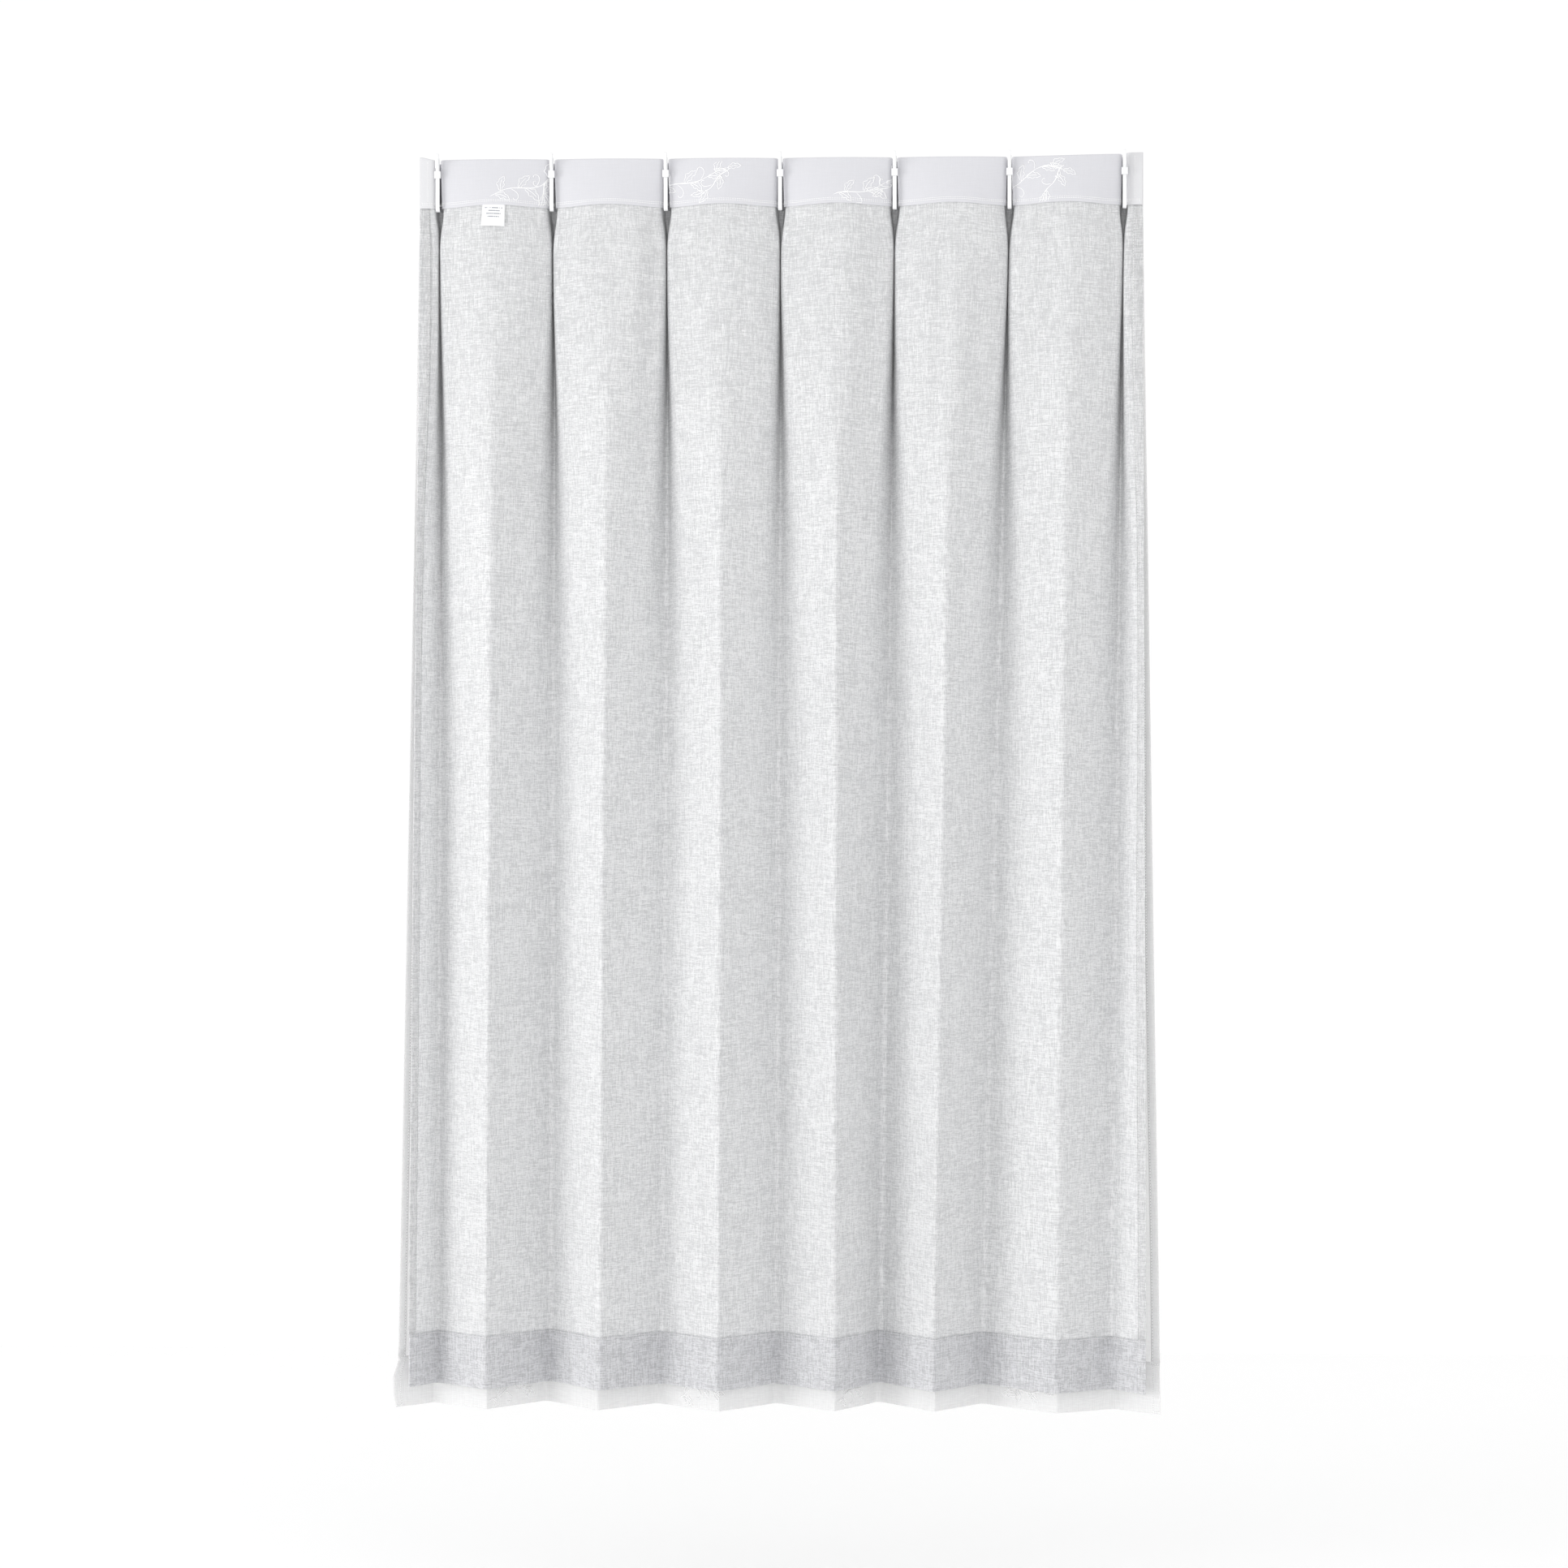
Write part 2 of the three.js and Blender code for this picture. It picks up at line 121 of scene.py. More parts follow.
PLEAT_DEPTH = 44 * MM
PLEAT_HALF_GAP = 4.5 * MM
PANEL_PLANE = 14 * MM  # y of the grey cloth beside a hook
BOW_TOP = 6 * MM  # how far the heading bows between its hooks, at its top
BOW_FOOT = 16 * MM  # and at its lower edge
FULLY_DRAPED = 0.83  # how far below the heading the cloth hangs in free folds
DRAPE_EASE = 1.6
SETTLING = 0.35  # how far below it the folds have come under its middle
HANGING_MIDDLE = 6 * MM
SHEER_AIR = 14 * MM  # air between the two panels lower down
CREASE = 8 * MM  # half the width of a pressed fold near the foot
SOFT_CREASE = 38 * MM  # and just under the heading, where it fades out
CREASE_START = 0.25
SIDE_HEM = 14 * MM
PLEAT_CLOSING = 0.8  # how nearly a pleat's sides meet just under the heading
CLOSED_MOUTH = 6 * MM
RIPPLE = 3.8 * MM  # depth of the upright ripples under the heading
BILLOW = 2.2 * MM  # of the slow waves in the hanging cloth
CRINKLE = 0.4 * MM
RIGHT_FAN, LEFT_FAN = 3.2 * MM, 1.5 * MM  # of the grooves beside a pleat
HEADING_ARCH = 3.6 * MM
LEFT_CURL, RIGHT_CURL = 4 * MM, 5 * MM
CORNER_FLARE = 8 * MM

LAYER = 0.9 * MM  # from one layer of cloth to the next
GREY_THICK = 0.45 * MM
SHEER_THICK = 0.25 * MM
THREAD = 0.35 * MM  # radius of sewing thread
FLOSS = 0.5 * MM  # radius of embroidery thread

# Where each fold has drifted to at the foot, from the left end: along the rail and its depth.
FOOT_FOLDS = MM * np.array([
    [-15, -26], [-5, 32], [-10, -45], [-8, 54], [-11, -46], [-9, 32], [-5, -54], [-9, 40],
    [-4, -42], [-23, 62], [-27, -40], [-39, 50], [-16, -48], [-21, 0], [3, -58],
], float)
SHEER_DRIFT = MM * np.array([-17, -6, 0, -7, -4, -7, 1, 1, 0, -2, 2, 0, 1, 7, 21], float)

NO_DRIFT = np.zeros(len(SHEER_DRIFT))

LEGS = 2 * HOOKS  # a leg is the cloth between a ridge and the next valley
QUARTER_TURN = PLEAT_HALF_GAP * math.pi / 2
PLEAT_CLOTH = PLEAT_DEPTH - 2 * PLEAT_HALF_GAP + 2 * QUARTER_TURN
FULL_SPAN = PITCH / 2 - 2 * PLEAT_HALF_GAP
STEPS = 120

LEG_WIDTH = np.full(LEGS, PITCH / 2)
LEG_WIDTH[[0, -1]] = END_RETURN
LEG_CLOTH = LEG_WIDTH - 2 * PLEAT_HALF_GAP + PLEAT_CLOTH
FOLD_X = HOOK_X[0] - END_RETURN + np.concatenate([[0], np.cumsum(LEG_WIDTH)])
FOLD_U = np.concatenate([[0], np.cumsum(LEG_CLOTH)])  # cloth from the left end to each fold
CLOTH_WIDTH = FOLD_U[-1]


# ---- The hanging cloth ----------------------------------------------------------------------

def mix(a, b, share):
    return a + (b - a) * share


def smooth(value):
    value = np.clip(value, 0, 1)
    return value * value * (3 - 2 * value)


def soft_noise(u, v, seed):
    """Smooth noise from -1 to 1 with one cell to each unit of u and v."""
    values = np.random.RandomState(seed).uniform(-1, 1, (97, 101))
    u, v = np.broadcast_arrays(np.asarray(u, float), np.asarray(v, float))
    i, j = np.floor(u).astype(int), np.floor(v).astype(int)
    a, b = smooth(u - i), smooth(v - j)
    i, j, k, l = i % 97, j % 101, (i + 1) % 97, (j + 1) % 101
    return mix(mix(values[i, j], values[k, j], a), mix(values[i, l], values[k, l], a), b)


def pleat_mouth(width, pinch):
    """The cloth that turns back into the pleat, and the flat cloth before it."""
    mouth = QUARTER_TURN * (1 + 1.4 * pinch)
    end = QUARTER_TURN * (1 - 0.8 * pinch)
    return mouth, width - (mouth + end) * 2 / math.pi


def heading_angle(distance, length, width, bow, pinch):
    """Angle between the cloth and the rail in the heading: bowed flat, then back into the pleat.
    Under the heading the pleat is pinched: its sides come together and its mouth rounds off."""
    curvature = 2 * bow / FULL_SPAN**2
    mouth, flat = pleat_mouth(width, pinch)
    end = QUARTER_TURN * (1 - 0.8 * pinch)
    corner = (distance - flat) / mouth
    tip = (length - distance) / end
    angle = np.where(corner < 0, curvature * distance, mix(curvature * flat, math.pi / 2, corner))
    angle = np.where(corner > 1, math.pi / 2, angle)
    return np.where(tip < 1, math.pi / 2 * tip, angle)


def shape_legs(length, width, z):
    """Every leg from its ridge at heights z, as tables of x, y and angle. Its angles are eased until
    it spans its width, so that the cloth keeps its length."""
    middle = (np.arange(STEPS) + 0.5) / STEPS
    distance = middle * length[..., None]
    bow = mix(BOW_TOP, BOW_FOOT, np.clip((HEADING_TOP - z) / (HEADING_TOP - HEADING_FOOT), 0, 1))
    below = (HEADING_FOOT - z)[:, None, None]
    draped = 1 - (1 - np.clip(below / FULLY_DRAPED, 0, 1)) ** DRAPE_EASE
    steepness = np.arccos(np.minimum(1, width / length))[..., None]
    from_crease = np.minimum(distance, length[..., None] - distance)
    pressed = smooth(below / 0.45)
    hanging = steepness * smooth(CREASE_START * pressed + from_crease / mix(SOFT_CREASE, CREASE, pressed))
    pinch = smooth((below - 4 * MM) / (42 * MM))
    held = heading_angle(distance, length[..., None], width[..., None], bow[:, None, None], pinch)
    mouth, flat = pleat_mouth(width[..., None], pinch)
    in_pleat = smooth((distance - flat) / mouth)
    angle = mix(held, hanging, mix(draped, draped**1.35, in_pleat))
    low, high = np.full(length.shape, 0.3), np.full(length.shape, 1.7)
    for _ in range(30):
        ease = (low + high) / 2
        spans = (np.cos(ease[..., None] * angle).mean(-1) * length) > width
        low, high = np.where(spans, ease, low), np.where(spans, high, ease)
    angle = low[..., None] * angle
    step = (length / STEPS)[..., None]
    start = np.zeros(length.shape + (1,))
    x = np.concatenate([start, np.cumsum(step * np.cos(angle), -1)], -1)
    y = np.concatenate([start, np.cumsum(step * np.sin(angle), -1)], -1)
    turn = np.concatenate([start, (angle[..., 1:] + angle[..., :-1]) / 2, start], -1)
    return x, y, turn


def close_pleats(x, width, z):
    """Brings a pleat's sides together just under the heading, which still holds them there."""
    below = (HEADING_FOOT - z)[:, None, None]
    closed = PLEAT_CLOSING * smooth((below - 4 * MM) / (60 * MM)) * (1 - smooth((below - 0.12) / 0.34))
    gap = width[..., None] - x
    beyond = np.maximum(gap - CLOSED_MOUTH, 0) / (width[..., None] - CLOSED_MOUTH)
    return x + closed * np.minimum(gap, CLOSED_MOUTH) * (1 - beyond)


def outside_pleats(u):
    """0 inside a pleat, 1 on the cloth between pleats."""
    apart = np.abs(u[..., None] - FOLD_U[1:LEGS:2]).min(-1)
    return smooth((apart - 0.8 * PLEAT_CLOTH) / (16 * MM))


def crumple(u, z):
    """How far the cloth strays from its pressed shape, along its normal."""
    below = HEADING_FOOT - z
    near_heading = smooth(below / 0.05) * (1 - smooth((below - 0.06) / 0.5))
    free = smooth(below / 0.5)
    ripples = RIPPLE * soft_noise(u / 0.026, z / 0.30, 3) * near_heading * outside_pleats(u)
    billow = BILLOW * soft_noise(u / 0.075, z / 0.55, 5) * (0.25 + 0.75 * free) * smooth(below / 0.1)
    crinkle = CRINKLE * soft_noise(u / 0.022, z / 0.09, 7) * smooth(below / 0.04)
    pucker = CRINKLE * soft_noise(u / 0.012, z / 0.05, 9) * (1 - smooth(np.abs(below) / 0.03))
    return ripples + billow + crinkle + pucker + fans(u, below)


def fans(u, below):
    """A soft groove that fans out from beside each pinched pleat."""
    depth = np.zeros(np.broadcast(u, below).shape)
    held = smooth(below / 0.03) * np.exp(-below / 0.22)
    for k in range(1, LEGS, 2):
        centre = FOLD_U[k] + PLEAT_CLOTH + 9 * MM + 0.055 * below
        depth = depth + RIGHT_FAN * held * np.exp(-(((u - centre) / (9 * MM)) ** 2))
        centre = FOLD_U[k] - PLEAT_CLOTH - 7 * MM - 0.03 * below
        depth = depth + LEFT_FAN * held * np.exp(-(((u - centre) / (8 * MM)) ** 2))
    return depth


def lift(u, z):
    """The stiff heading's lower edge arches up between its hooks, and its ends curl up."""
    leg = np.clip(np.searchsorted(FOLD_U, u, side="right") - 1, 0, LEGS - 1)
    flat = LEG_CLOTH[leg] - PLEAT_CLOTH
    from_ridge = np.where(leg % 2 == 0, u - FOLD_U[leg], FOLD_U[leg + 1] - u)
    share = np.clip(from_ridge / flat, 0, 1)
    arch = np.where((leg > 0) & (leg < LEGS - 1), np.cos(share * math.pi / 2) ** 2, 0)
    down = smooth((HEADING_TOP - z) / (HEADING_TOP - HEADING_FOOT))
    curl = LEFT_CURL * (1 - smooth(u / (24 * MM)))
    curl = curl + RIGHT_CURL * smooth((u - CLOTH_WIDTH + 0.26) / 0.26)
    ends = curl * smooth((z - HEADING_FOOT) / (HEADING_TOP - HEADING_FOOT))
    return HEADING_ARCH * arch * down * (1 - smooth((HEADING_FOOT - z) / 0.28)) + ends


class Hanging:
    """A panel's surface as a table over cloth width u and height z, with room-side normals."""

    def __init__(self, u, z, drift, foot, air):
        self.u, self.z = u, z
        down = np.clip((HEADING_FOOT - z) / (HEADING_FOOT - foot), 0, 1)[:, None]
        end_x = FOLD_X + FOOT_FOLDS[:, 0] + drift
        chord = np.hypot(np.diff(end_x), np.diff(FOOT_FOLDS[:, 1]))
        fold_x = mix(FOLD_X, end_x, down)
        length = mix(LEG_CLOTH, chord * CLOTH_WIDTH / chord.sum(), down)
        width = np.diff(fold_x, axis=1)
        x, y, turn = shape_legs(length, width, z)
        x = close_pleats(x, width, z)
        side = np.where(np.arange(LEGS) % 2 == 0, 1, -1)
        fold_y = np.cumsum(np.concatenate([np.zeros((len(z), 1)), side * y[..., -1]], 1), 1)
        ridge = np.arange(LEGS) + (side < 0)
        shift = self.held_or_hung(y, fold_y, ridge, z)

        leg = np.clip(np.searchsorted(FOLD_U, u, side="right") - 1, 0, LEGS - 1)
        share = (u - FOLD_U[leg]) / LEG_CLOTH[leg]
        share = np.where(side[leg] > 0, share, 1 - share)
        place = np.clip(share, 0, 1) * STEPS
        step = np.minimum(place.astype(int), STEPS - 1)
        rest = place - step

        def across(table):
            return mix(table[:, leg, step], table[:, leg, step + 1], rest)

        angle = across(turn)
        self.normal = np.stack([-side[leg] * np.sin(angle), np.cos(angle), np.zeros_like(angle)], -1)
        back = air * smooth((HEADING_FOOT - z) / FULLY_DRAPED)[:, None]
        height = np.broadcast_to(z[:, None], angle.shape)
        self.point = np.stack([
            fold_x[:, ridge[leg]] + side[leg] * across(x),
            fold_y[:, ridge[leg]] + across(y) + shift + back,
            height,
        ], -1)
        self.point += self.normal * crumple(u[None, :], z[:, None])[..., None]
        if air:
            flare = smooth((SHEER_HEM_TOP - z) / (35 * MM)) * (1 - 0.7 * smooth((GREY_FOOT - z) / (30 * MM)))
            self.point[..., 0] -= CORNER_FLARE * flare[:, None] * (1 - smooth(u / (40 * MM)))[None, :]

    @staticmethod
    def held_or_hung(y, fold_y, ridge, z):
        """The heading is held at its hooks; lower down the folds hang under its middle."""
        inner = slice(1, LEGS - 1)
        beside = round(STEPS * (1 - PLEAT_CLOTH / LEG_CLOTH[1]))
        ridge_y = fold_y[:, ridge]
        hooks = (ridge_y + y[..., beside])[:, inner].mean(1)
        middle = (ridge_y + y.mean(-1))[:, inner].mean(1)
        hung = smooth((HEADING_FOOT - z) / SETTLING)
        return mix(PANEL_PLANE - hooks, PANEL_PLANE + HANGING_MIDDLE - middle, hung)[:, None]

    def at(self, u, z, offset=0.0):
        """Points of the cloth, offset towards the room, for arrays of u and z of one shape."""
        u, z, offset = np.broadcast_arrays(u, z, offset)
        i = np.clip(np.searchsorted(-self.z, -z, side="right") - 1, 0, len(self.z) - 2)
        j = np.clip(np.searchsorted(self.u, u, side="right") - 1, 0, len(self.u) - 2)
        a = np.clip((z - self.z[i]) / (self.z[i + 1] - self.z[i]), -1, 2)[..., None]
        b = np.clip((u - self.u[j]) / (self.u[j + 1] - self.u[j]), 0, 1)[..., None]

        def blend(table):
            return mix(mix(table[i, j], table[i + 1, j], a), mix(table[i, j + 1], table[i + 1, j + 1], a), b)

        point = blend(self.point)
        point[..., 2] = z + lift(u, z)
        return point + blend(self.normal) * offset[..., None]


def cloth_columns():
    """Cloth positions across the panel, closest where the cloth turns."""
    columns = []
    for leg in range(LEGS):
        length = LEG_CLOTH[leg]
        flat = length - PLEAT_CLOTH
        near = [0, 1.2, 2.6, 4.4, 6.8, 10] if flat > 0.03 else [0, 2, 4.5, 8, 12]
        marks = [m * MM for m in near]
        marks += list(np.linspace(marks[-1], flat - 2 * MM, 9 if flat > 0.03 else 3)[1:])
        marks += list(flat + QUARTER_TURN * np.linspace(0, 1, 5))
        marks += list(np.linspace(flat + QUARTER_TURN, length - QUARTER_TURN, 6)[1:-1])
        marks += list(length - QUARTER_TURN * np.linspace(1, 0, 6))
        marks = np.unique(np.round(marks, 6))
        marks[-1] = length
        columns.append(FOLD_U[leg] + (marks if leg % 2 == 0 else length - marks[::-1])[:-1])
    return np.concatenate(columns + [[CLOTH_WIDTH]])


def cloth_rows(foot):
    heading = np.arange(HEADING_TOP + 2 * MM, HEADING_FOOT - 6 * MM, -5 * MM)
    upper = np.arange(heading[-1] - 7 * MM, -0.42, -10 * MM)
    lower = np.linspace(upper[-1] - 13 * MM, foot - 3 * MM, int((upper[-1] - foot) / (23 * MM)))
    return np.concatenate([heading, upper, lower])


# ---- Meshes ---------------------------------------------------------------------------------

def new_piece(name, points, faces, coordinates=None):
    """A smooth mesh object. coordinates is each point's place on the flat cloth."""
    mesh = bpy.data.meshes.new(name)
    mesh.from_pydata(points.reshape(-1, 3).tolist(), [], faces.tolist())
    if coordinates is not None:
        cloth = mesh.attributes.new("cloth", "FLOAT_VECTOR", "POINT")
        cloth.data.foreach_set("vector", coordinates.reshape(-1).astype(np.float32))
    mesh.shade_smooth()
    mesh.update()
    piece = bpy.data.objects.new(name, mesh)
    scene.collection.objects.link(piece)
    return piece


def shell_faces(rows, columns):
    """Faces of a closed shell of two grids of points, the window face first."""
    grid = np.arange(rows * columns).reshape(rows, columns)
    a, b, c, d = grid[:-1, :-1], grid[1:, :-1], grid[1:, 1:], grid[:-1, 1:]
    window = np.stack([a, b, c, d], -1).reshape(-1, 4)
    room = window[:, ::-1] + rows * columns
    loop = np.concatenate([grid[0, :-1], grid[:-1, -1], grid[-1, :0:-1], grid[:0:-1, 0]])
    after = np.roll(loop, -1)
    rim = np.stack([loop, after, after + rows * columns, loop + rows * columns], -1)
    return np.concatenate([window, room, rim])


def cloth_strip(name, hanging, u, profile, thickness):
    """A strip of cloth of even thickness that follows a profile of (height, offset) points."""
    profile = np.array(profile, float)
    run = np.gradient(profile, axis=0)
    run /= np.linalg.norm(run, axis=1, keepdims=True)
    aside = np.stack([run[:, 1], -run[:, 0]], -1) * thickness / 2
    faces = []
    for sign in (-1, 1):
        z, offset = (profile + sign * aside).T
        faces.append(hanging.at(u[None, :], z[:, None], offset[:, None]))
    along = np.concatenate([[0], np.cumsum(np.linalg.norm(np.diff(profile, axis=0), axis=1))])
    flat = np.stack(np.broadcast_arrays(u[None, :], -along[:, None] + profile[0, 0], 0.0), -1)
    points = np.stack(faces)
    piece = new_piece(name, points, shell_faces(len(profile), len(u)), np.stack([flat, flat]))
    return piece


def rows_between(hanging, top, foot):
    inside = hanging.z[(hanging.z < top - 1 * MM) & (hanging.z > foot + 1 * MM)]
    return np.concatenate([[top], inside, [foot]])


def fold_round(z, centre, radius, start, end, steps=6):
    """Profile points round a folded edge, by angle from the room side."""
    angles = np.radians(np.linspace(start, end, steps))
    return [(z + radius * math.sin(a), centre + radius * math.cos(a)) for a in angles]


def sweep_threads(name, lines, radius, sides=5):
    """Closed tubes of thread along lines of points, tapered at their ends, in one mesh."""
    points, faces, count = [], [], 0
    ring = np.arange(sides)
    angles = 2 * math.pi * ring / sides
    for line, normal in lines:
        tangent = np.gradient(line, axis=0)
        tangent /= np.maximum(np.linalg.norm(tangent, axis=1, keepdims=True), 1e-9)
        across = np.cross(tangent, normal)
        across /= np.maximum(np.linalg.norm(across, axis=1, keepdims=True), 1e-9)
        up = np.cross(across, tangent)
        size = np.ones(len(line))
        size[[0, -1]] = 0.45
        wide, deep = np.cos(angles)[None, :, None], np.sin(angles)[None, :, None]
        spokes = across[:, None] * wide + up[:, None] * deep
        points.append((line[:, None] + radius * size[:, None, None] * spokes).reshape(-1, 3))
        base = count + sides * np.arange(len(line) - 1)[:, None]
        after = (ring + 1) % sides
        faces += np.stack([base + ring, base + after, base + sides + after, base + sides + ring], -1) \
            .reshape(-1, 4).tolist()
        faces.append((count + ring[::-1]).tolist())
        count += sides * len(line)
        faces.append((count - sides + ring).tolist())
    mesh = bpy.data.meshes.new(name)
    mesh.from_pydata(np.concatenate(points).tolist(), [], faces)
    mesh.shade_smooth()
    piece = bpy.data.objects.new(name, mesh)
    scene.collection.objects.link(piece)
    return piece


def laid_line(hanging, u, z, offset):
    """A line of points on the cloth, with the cloth's normals, for sweep_threads."""
    u, z = np.broadcast_arrays(np.asarray(u, float), np.asarray(z, float))
    on = hanging.at(u, z, offset)
    return on, hanging.at(u, z, offset + 1 * MM) - on


def running_stitches(hanging, start, end, offset, pitch=3.2 * MM, dash=0.72):
    """Separate stitches from one (u, z) to another, each dipping into the cloth at its ends."""
    start, end = np.array(start), np.array(end)
    count = max(1, int(np.linalg.norm(end - start) / pitch))
    lines = []
    for i in range(count):
        shares = (i + np.array([0.0, 0.18, 0.5, 0.82, 1.0]) * dash) / count
        u, z = (start + (end - start) * shares[:, None]).T
        dip = offset + 0.3 * MM * np.array([1, 0.2, 0, 0.2, 1])
        lines.append(laid_line(hanging, u, z, dip))
    return lines


# ---- Materials ------------------------------------------------------------------------------

class Wire:
    """A socket's value that takes part in sums written in Python."""

    def __init__(self, finish, socket):
        self.finish, self.socket = finish, socket

    def maths(self, operation, *values):
        node = self.finish.tree.nodes.new("ShaderNodeMath")
        node.operation = operation
        for place, value in enumerate(values):
            self.finish.join(value, node.inputs[place])
        return Wire(self.finish, node.outputs[0])

    def __add__(self, other):
        return self.maths("ADD", self, other)

    def __sub__(self, other):
        return self.maths("SUBTRACT", self, other)

    def __rsub__(self, other):
        return self.maths("SUBTRACT", other, self)

    def __mul__(self, other):
        return self.maths("MULTIPLY", self, other)

    __radd__, __rmul__ = __add__, __mul__

    def higher(self, other):
        return self.maths("MAXIMUM", self, other)

    def sine(self):
        return self.maths("SINE", self)

    def over(self, start, end):
        """0 up to start, 1 from end on, and soft between them."""
        settings = {"interpolation_type": "SMOOTHSTEP"}
        values = {"Value": self, "From Min": start, "From Max": end}
        return self.finish.node("MapRange", settings, **values)


class Finish:
    """A material, its shader, and the nodes that feed it."""

    def __init__(self, name, roughness, sheen=0.0, **uniform):
        self.material = bpy.data.materials.new(name)
        self.material.use_nodes = True
        self.tree = self.material.node_tree
        self.shader = self.tree.nodes["Principled BSDF"]
        self.set_shader(roughness=roughness, sheen_weight=sheen, **uniform)

    def join(self, value, socket):
        if isinstance(value, Wire):
            self.tree.links.new(value.socket, socket)
        else:
            socket.default_value = value

    def node(self, kind, settings=None, output=0, **sockets):
        node = self.tree.nodes.new("ShaderNode" + kind)
        for name, value in (settings or {}).items():
            setattr(node, name, value)
        for name, value in sockets.items():
            self.join(value, node.inputs[name])
        return Wire(self, node.outputs[output])

    def set_shader(self, **sockets):
        for name, value in sockets.items():
            title = name.replace("_", " ").title().replace("Ior", "IOR")
            self.join(value, self.shader.inputs[title])

    def colour(self, dark, light, share):
        """A colour between two others, by a value from 0 to 1."""
        node = self.tree.nodes.new("ShaderNodeMix")
        node.data_type = "RGBA"
        factor, a, b = [node.inputs[i] for i in (0, 6, 7)]
        self.join(share, factor)
        self.join(dark if isinstance(dark, Wire) else (*dark, 1), a)
        self.join(light if isinstance(light, Wire) else (*light, 1), b)
        return Wire(self, node.outputs[2])

    def place(self, name=None):
        """X, Y and Z of a point: its place on the flat cloth, or in space without a name, in mm."""
        if name:
            source = self.node("Attribute", {"attribute_name": name}, 1)
        else:
            source = self.node("TexCoord", output=3)
        scaled = self.node("VectorMath", {"operation": "SCALE"}, Vector=source, Scale=1000)
        split = self.tree.nodes.new("ShaderNodeSeparateXYZ")
        self.join(scaled, split.inputs[0])
        return [Wire(self, output) for output in split.outputs]

    def noise(self, x, y, z=0.0, detail=1.0):
        """Soft noise of about 0 to 1, with cells of one unit of x, y and z."""
        where = self.node("CombineXYZ", X=x, Y=y, Z=z)
        return self.node("TexNoise", Vector=where, Scale=1.0, Detail=detail)

    def bump(self, height, depth, strength=1.0):
        """Relief from a height of 0 to 1, depth metres deep."""
        self.set_shader(normal=self.node("Bump", Height=height, Distance=depth, Strength=strength))


def streaks(finish, across, along, thick, length, seed):
    """Threads of uneven thickness: long cells of noise along them."""
    return finish.noise(across * (1 / thick), along * (1 / length), seed, 1.0)


def weave_height(finish, u, v, pitch):
    """Over-and-under relief of a plain weave, 0 to 1, with threads of this pitch in mm."""
    warp = (u * (2 * math.pi / pitch)).sine()
    weft = (v * (2 * math.pi / pitch)).sine()
    return warp * weft * 0.5 + 0.5


def paint_grey_cloth():
    """Light grey slubbed weave: crossed streaks over a slow mottle, with painted shade near the heading and
    on the hem.
    """
    cloth = Finish(
        "grey_slub_weave", 0.92, sheen=0.12, sheen_roughness=0.6, specular_ior_level=0.2,
        subsurface_weight=0.6, subsurface_radius=(1.0, 1.0, 1.0), subsurface_scale=0.002)
    u, v, _ = cloth.place("cloth")
    weft = streaks(cloth, v, u, 0.8, 6.0, 1.5) + streaks(cloth, v, u, 1.1, 18.0, 4.5)
    warp = streaks(cloth, u, v, 0.8, 6.0, 7.5) + streaks(cloth, u, v, 1.1, 20.0, 9.5)
    slub = (weft + warp) * 0.25
    mottle = cloth.noise(u * 0.03, v * 0.02, 2.0, 3.0)
    # painted shade: the doubled bottom hem is coloured darker, standing in for the light that two layers
    # hold back
    hem_shade = v.over(GREY_HEM_TOP / MM + 0.4, GREY_HEM_TOP / MM - 0.4)
    # painted shade: the cloth is coloured a shade deeper over its top 0.6 m, to tone down the studio light
    # there
    painted_top_shade = v.over(-620, -110)
    tone = (slub - 0.5) * (7.5 - painted_top_shade * 1.8) + (mottle - 0.5) * 0.2 + 0.5 - painted_top_shade * 0.18
    dark = cloth.colour((0.54, 0.544, 0.553), (0.475, 0.477, 0.496), hem_shade)
    light = cloth.colour((0.812, 0.816, 0.824), (0.772, 0.774, 0.80), hem_shade)
    grey = cloth.colour(dark, light, tone)
    green = (cloth.noise(u * 0.25, v * 0.02, 5.0) - 0.5) * 2.0
    grey = cloth.colour(grey, (0.64, 0.67, 0.64), green.higher(0.0) * 0.3)
    cloth.set_shader(base_color=grey)
    cloth.bump(weave_height(cloth, u, v, 0.8) * 0.4 + slub, 0.0004, 0.7)
    return cloth.material


def paint_voile(name, cover, light, contrast, end_light):
    """White polyester voile: a fine open weave that lets what is behind it show."""
    cloth = Finish(name, 0.7, sheen=0.2, sheen_roughness=0.4, specular_ior_level=0.35)
    u, v, _ = cloth.place("cloth")
    weft = streaks(cloth, v, u, 0.7, 16.0, 3.5)
    warp = streaks(cloth, u, v, 0.7, 18.0, 6.5)
    slub = (weft + warp) * 0.5
    dark = [part * contrast for part in light]
    white = cloth.colour(dark, light, (slub - 0.5) * 2.2 + 0.5)
    ends = u.over(24, 20) + u.over(CLOTH_WIDTH / MM - 24, CLOTH_WIDTH / MM - 20)
    cloth.set_shader(base_color=cloth.colour(white, end_light, ends))
    if cover < 1:
        cloth.set_shader(alpha=(slub - 0.5) * 0.3 + cover)
    cloth.bump(weave_height(cloth, u, v, 0.6) * 0.4 + slub * 0.6, 0.00025, 0.4)
    return cloth.material


def paint_tape():
    """Stiff woven heading tape, ribbed across."""
    tape = Finish("woven_heading_tape", 0.8, sheen=0.1)
    u, v, _ = tape.place("cloth")
    rib = (v * (2 * math.pi / 1.6)).sine() * 0.5 + 0.5
    tone = rib * 0.4 + streaks(tape, v, u, 1.0, 20.0, 2.5) * 0.6
    tape.set_shader(base_color=tape.colour((0.72, 0.73, 0.74), (0.86, 0.86, 0.86), tone))
    tape.bump(rib, 0.0003, 0.5)
    return tape.material


